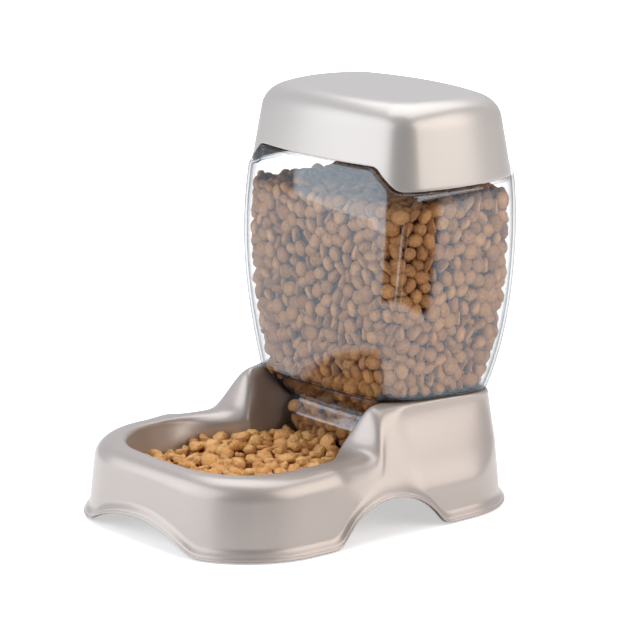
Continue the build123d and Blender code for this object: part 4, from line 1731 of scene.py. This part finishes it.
    def build(
        self, finish: bpy.types.Material, lit_bowl_finish: bpy.types.Material, shade: bpy.types.Material
    ) -> None:
        """Makes the layers of buttons and the cores.

        Args:
            finish: look of the food in the hopper, painted darker as shaded food.
            lit_bowl_finish: look of the food in the bowl, painted paler as lit food.
            shade: painted shade of the cores.
        """
        in_hopper = (Slot.FOOD, Body.HOPPER, "food_in_hopper")
        in_bowl = (Slot.FOOD, Body.BASE, "food_in_bowl")
        centres, axes = self.wall_layer()
        right = centres[:, 0] > 0.0
        for name, part in (("food_right", right), ("food_left", ~right)):
            heap = self.pellet.heap(name, centres[part], axes[part], self.seed + 3, self.wall_rough)
            dress(heap, finish, *in_hopper)
        spout = self.pellet.heap("food_spout", *self.spout_layer(), self.seed + 4, self.spout_rough)
        dress(spout, finish, *in_hopper)
        bowl = self.pellet.heap("food_bowl", *self.bowl_layer(), self.seed + 5, self.bowl_rough)
        dress(bowl, lit_bowl_finish, *in_bowl)
        # Painted shade: dark cores that stand for the shaded food behind the buttons.
        dress(sheet("shaded_food_core", self.hopper_core()), shade, *in_hopper)
        wedge = sheet("shaded_food_wedge", self.spout_core(), closed=False)
        thicken(wedge, self.wedge_wall)
        dress(wedge, shade, *in_hopper)
        dress(sheet("shaded_food_bed", self.bowl_core()), shade, *in_bowl)


@dataclass
class Feet:
    """Rubber feet with a stem, and the tabs of the base that hold them.

    The profile of a foot is pairs of a radius and a height.
    """

    base: BaseShell
    radius: float = 9.0
    pad: float = 3.0
    stem_radius: float = 3.0
    stem_play: float = 0.2
    margin: float = 4.0
    tab_radius: float = 18.0
    tab_height: float = 2.5
    tab_sink: float = 1.0  # how far a tab runs into the skirt
    tab_rings: tuple[float, ...] = (6.0, 10.0)
    profile: Pairs = (
        (0.0, 0.5), (5.6, 0.5), (6.0, 0.15), (6.6, 0.0), (8.1, 0.0), (8.75, 0.3), (9.0, 0.9), (9.0, 2.3),
        (8.8, 2.8), (8.3, 3.0), (3.4, 3.0), (3.0, 3.4), (3.0, 7.3), (2.6, 8.0), (0.0, 8.0),
    )

    def places(self) -> dict[str, tuple[float, float, float, float]]:
        """Where the feet are, in the corners of the skirt.

        Returns:
            For each foot the X and Y of its centre, the direction to its corner and the radius of the
            skirt's inside there.
        """
        lip = self.base.lip
        ends = {
            "front": (lip.front_half, lip.front_corner, lip.front + lip.front_corner, -1.0),
            "rear": (lip.rear_half, lip.rear_corner, lip.rear - lip.rear_corner, 1.0),
        }
        found = {}
        for end, (half, corner, y, toward) in ends.items():
            inside = corner - self.base.lip_reach - self.base.wall
            reach = (inside - self.margin - self.radius) * math.sqrt(0.5)
            for side, sign in (("left", -1.0), ("right", 1.0)):
                way = math.atan2(toward, sign)
                x = sign * (half - corner + reach)
                found[f"foot_{end}_{side}"] = (x, y + toward * reach, way, inside)
        return found

    def build(self, rubber: bpy.types.Material, plastic: bpy.types.Material) -> None:
        """Makes the pads and the tabs: rings around each foot's centre, cut off by the skirt.

        Args:
            rubber: look of the pads.
            plastic: look of the tabs.
        """
        angles = np.linspace(0.0, 4 * QUARTER, 40, endpoint=False)
        cosines, sines = np.cos(angles), np.sin(angles)
        radii, heights = np.array(self.profile).T[:, :, None]
        for name, (x, y, way, inside) in self.places().items():
            pad = np.stack([x + radii * cosines, y + radii * sines, heights + 0.0 * angles], axis=-1)
            dress(sheet(f"{name}_pad", pad), rubber, Slot.RUBBER, Body.BASE, name)
            offset = inside - self.margin - self.radius
            swing = angles - way
            room = np.sqrt(inside**2 - (offset * np.sin(swing)) ** 2) - offset * np.cos(swing)
            rim = np.minimum(self.tab_radius, room + self.tab_sink)
            rings = np.array([self.stem_radius + self.stem_play, *self.tab_rings])[:, None]
            spread = np.concatenate([np.minimum(rings, rim), rim[None]])[::-1]
            top = np.full(spread.shape, self.pad + self.tab_height)
            tab = sheet(f"{name}_tab", np.stack([x + spread * cosines, y + spread * sines, top], axis=-1))
            thicken(tab, self.tab_height)
            dress(tab, plastic, Slot.BASE, Body.BASE, "base")


@dataclass(frozen=True)
class SoftBox:
    """Lamp: a rectangle of light that is aimed at the feeder."""

    name: str
    place: Place
    size: tuple[float, float]
    power: float
    tint: Colour

    AIM = (0.0, 0.0, 120.0)

    def build(self) -> None:
        """Makes the lamp, which the camera doesn't see."""
        light = bpy.data.lights.new(self.name, "AREA")
        light.shape = "RECTANGLE"
        light.size, light.size_y = (length * METRES for length in self.size)
        light.energy = self.power
        light.color = self.tint
        lamp = put_in_scene(self.name, light)
        start = np.array(self.place)
        way = np.array(self.AIM) - start
        level = math.hypot(way[0], way[1])
        lamp.location = tuple(start * METRES)
        lamp.rotation_euler = (math.atan2(level, -way[2]), 0.0, math.atan2(way[1], way[0]) - QUARTER)
        lamp.visible_camera = False


@dataclass
class Studio:
    """Floor, room, lamps and camera."""

    camera_place: Place = (1603.69, -1327.31, 633.02)
    camera_tilt: float = 76.501
    camera_swing: float = 49.981
    lens: float = 174.28
    floor_half: float = 4000.0
    floor_tones: tuple[Colour, Colour] = ((0.86, 0.86, 0.86), (0.88, 0.88, 0.88))
    flag_colour: Colour = (0.03, 0.03, 0.032)
    pale_room: Colour = (0.60, 0.62, 0.67)
    dark_room: Colour = (0.10, 0.10, 0.105)
    dark_turn: float = 16.0
    shadow_reach: float = 280.0
    shadow_fade: float = 500.0
    table_edge: float = 420.0
    table_spread: float = 0.95
    flag_gaps: Pairs = ((-0.16, 0.045), (0.1, 0.008))
    lamps: tuple[SoftBox, ...] = (
        SoftBox("left_box", (-700.0, -1823.0, 930.0), (2900.0, 2000.0), 35.0, (0.92, 0.96, 1.0)),
        SoftBox("right_box", (1590.0, 740.0, 950.0), (1800.0, 1600.0), 22.0, (1.0, 0.93, 0.87)),
        SoftBox("top_box", (-300.0, 500.0, 2100.0), (2200.0, 2200.0), 32.0, (1.0, 1.0, 1.0)),
    )

    def towards_dark(self) -> Place:
        """Level direction from the feeder to the dark side of the room, right of the camera."""
        swing = math.radians(self.camera_swing + self.dark_turn)
        return (math.sin(swing), -math.cos(swing), 0.0)

    def right_of_dark(self) -> Place:
        """Level direction to the right as seen from the middle of the dark side."""
        swing = math.radians(self.camera_swing + self.dark_turn)
        return (math.cos(swing), math.sin(swing), 0.0)

    def floor(self) -> None:
        """Pale floor that is white to the camera further off and keeps the shadow.

        In reflections it ends on the camera's side, where dark flags stand with two gaps between them.
        """
        material, bench = new_finish("studio_floor")
        camera, mirror = (
            bench.add("ShaderNodeLightPath", output=f"Is {ray} Ray") for ray in ("Camera", "Glossy")
        )
        place = bench.add("ShaderNodeTexCoord", output="Object")
        away = bench.measure("LENGTH", place)
        ahead = bench.measure("DOT_PRODUCT", place, bench.direction(self.towards_dark()))
        aside = bench.measure("DOT_PRODUCT", place, bench.direction(self.right_of_dark()))
        colour = bench.blend(bench.noise(300.0), *self.floor_tones)
        matt = bench.add("ShaderNodeBsdfDiffuse", {"Color": colour})
        far_off = ((away - self.shadow_reach * METRES) * (1.0 / (self.shadow_fade * METRES))).kept()
        strength = camera * (far_off * 0.5 + 0.5) + mirror * 0.25
        glow = bench.add("ShaderNodeEmission", {"Color": (1.0, 1.0, 1.0, 1.0), "Strength": strength})
        bright = bench.add("ShaderNodeAddShader", {0: matt, 1: glow})
        dark = bench.add("ShaderNodeBsdfDiffuse", {"Color": (*self.flag_colour, 1.0)})
        beyond = ((away - self.table_edge * METRES) * 50.0).kept()
        flags = ((ahead / away - math.cos(self.table_spread)) * 25.0).kept()
        for middle, half_width in self.flag_gaps:
            flags = flags * ((abs(aside / away - middle) - half_width) * 60.0).kept()
        bench.surface(bench.either(beyond * flags * mirror, bright, dark))
        steps = np.linspace(-self.floor_half, self.floor_half, 9)
        x, y = np.meshgrid(steps, steps)
        ground = sheet("studio_floor", np.stack([x, y, 0.0 * x], axis=-1), closed=False)
        ground.data.materials.append(material)

    def world(self) -> None:
        """Room: white where the camera looks, pale behind the feeder and dark behind the camera."""
        world = bpy.data.worlds.new("studio")
        world.use_nodes = True
        bpy.context.scene.world = world
        bench = Bench(world.node_tree)
        seen = bench.add("ShaderNodeLightPath", output="Is Camera Ray")
        way = bench.add("ShaderNodeTexCoord", output="Generated")
        facing = bench.measure("DOT_PRODUCT", way, bench.direction(self.towards_dark()))
        room = bench.blend((facing * 0.9 + 0.35).kept(), self.pale_room, self.dark_room)
        colour = bench.blend(seen, room, (1.0, 1.0, 1.0))
        bench.surface(bench.add("ShaderNodeBackground", {"Color": colour, "Strength": 1.0}))

    def camera(self) -> None:
        """Camera at the angle of the photograph."""
        lens = bpy.data.cameras.new("camera")
        lens.lens = self.lens
        lens.clip_end = 20.0
        camera = put_in_scene("camera", lens)
        camera.location = tuple(np.array(self.camera_place) * METRES)
        camera.rotation_euler = (math.radians(self.camera_tilt), 0.0, math.radians(self.camera_swing))
        bpy.context.scene.camera = camera

    def build(self) -> None:
        """Sets the stage."""
        bpy.context.scene.view_settings.view_transform = "Standard"
        self.floor()
        self.world()
        for lamp in self.lamps:
            lamp.build()
        self.camera()


def main() -> None:
    """Builds the feeder's looks on the frame and sets the stage."""
    logging.basicConfig(level=logging.INFO, format="%(message)s")
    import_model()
    base_pearl = PearlPlastic("base_pearl", (0.50, 0.443, 0.41), (0.43, 0.384, 0.356)).make()
    lid_pearl = PearlPlastic("lid_pearl", (0.55, 0.514, 0.487), (0.485, 0.455, 0.43)).make()
    clear = ClearPlastic("clear_wall").make()
    # Painted light and shade: two copies of one food, the bowl's paler as lit food and the hopper's darker
    # as shaded food with more painted shade at each piece's edge.
    lit_bowl_food = DryFood("lit_bowl_food", (0.99, 0.58, 0.225), (0.80, 0.40, 0.135), 0.28).make()
    shaded_hopper_food = DryFood("shaded_hopper_food", (0.84, 0.435, 0.158), (0.52, 0.232, 0.072), 0.6).make()
    # Painted shade: the dark colour of the cores behind the food's buttons.
    shade = MattSurface("food_shade", (0.085, 0.036, 0.014), (0.05, 0.02, 0.008), 6.0).make()
    rubber = MattSurface("foot_rubber", (0.055, 0.055, 0.056), (0.035, 0.035, 0.036), 0.8).make()
    base = BaseShell()
    lid = LidCap()
    hopper = HopperShell(lid, base)
    base.build(base_pearl)
    lid.build(lid_pearl)
    hopper.build(clear)
    Food(hopper, base).build(shaded_hopper_food, lit_bowl_food, shade)
    Feet(base).build(rubber, base_pearl)
    Studio().build()


if __name__ == "__main__":
    main()
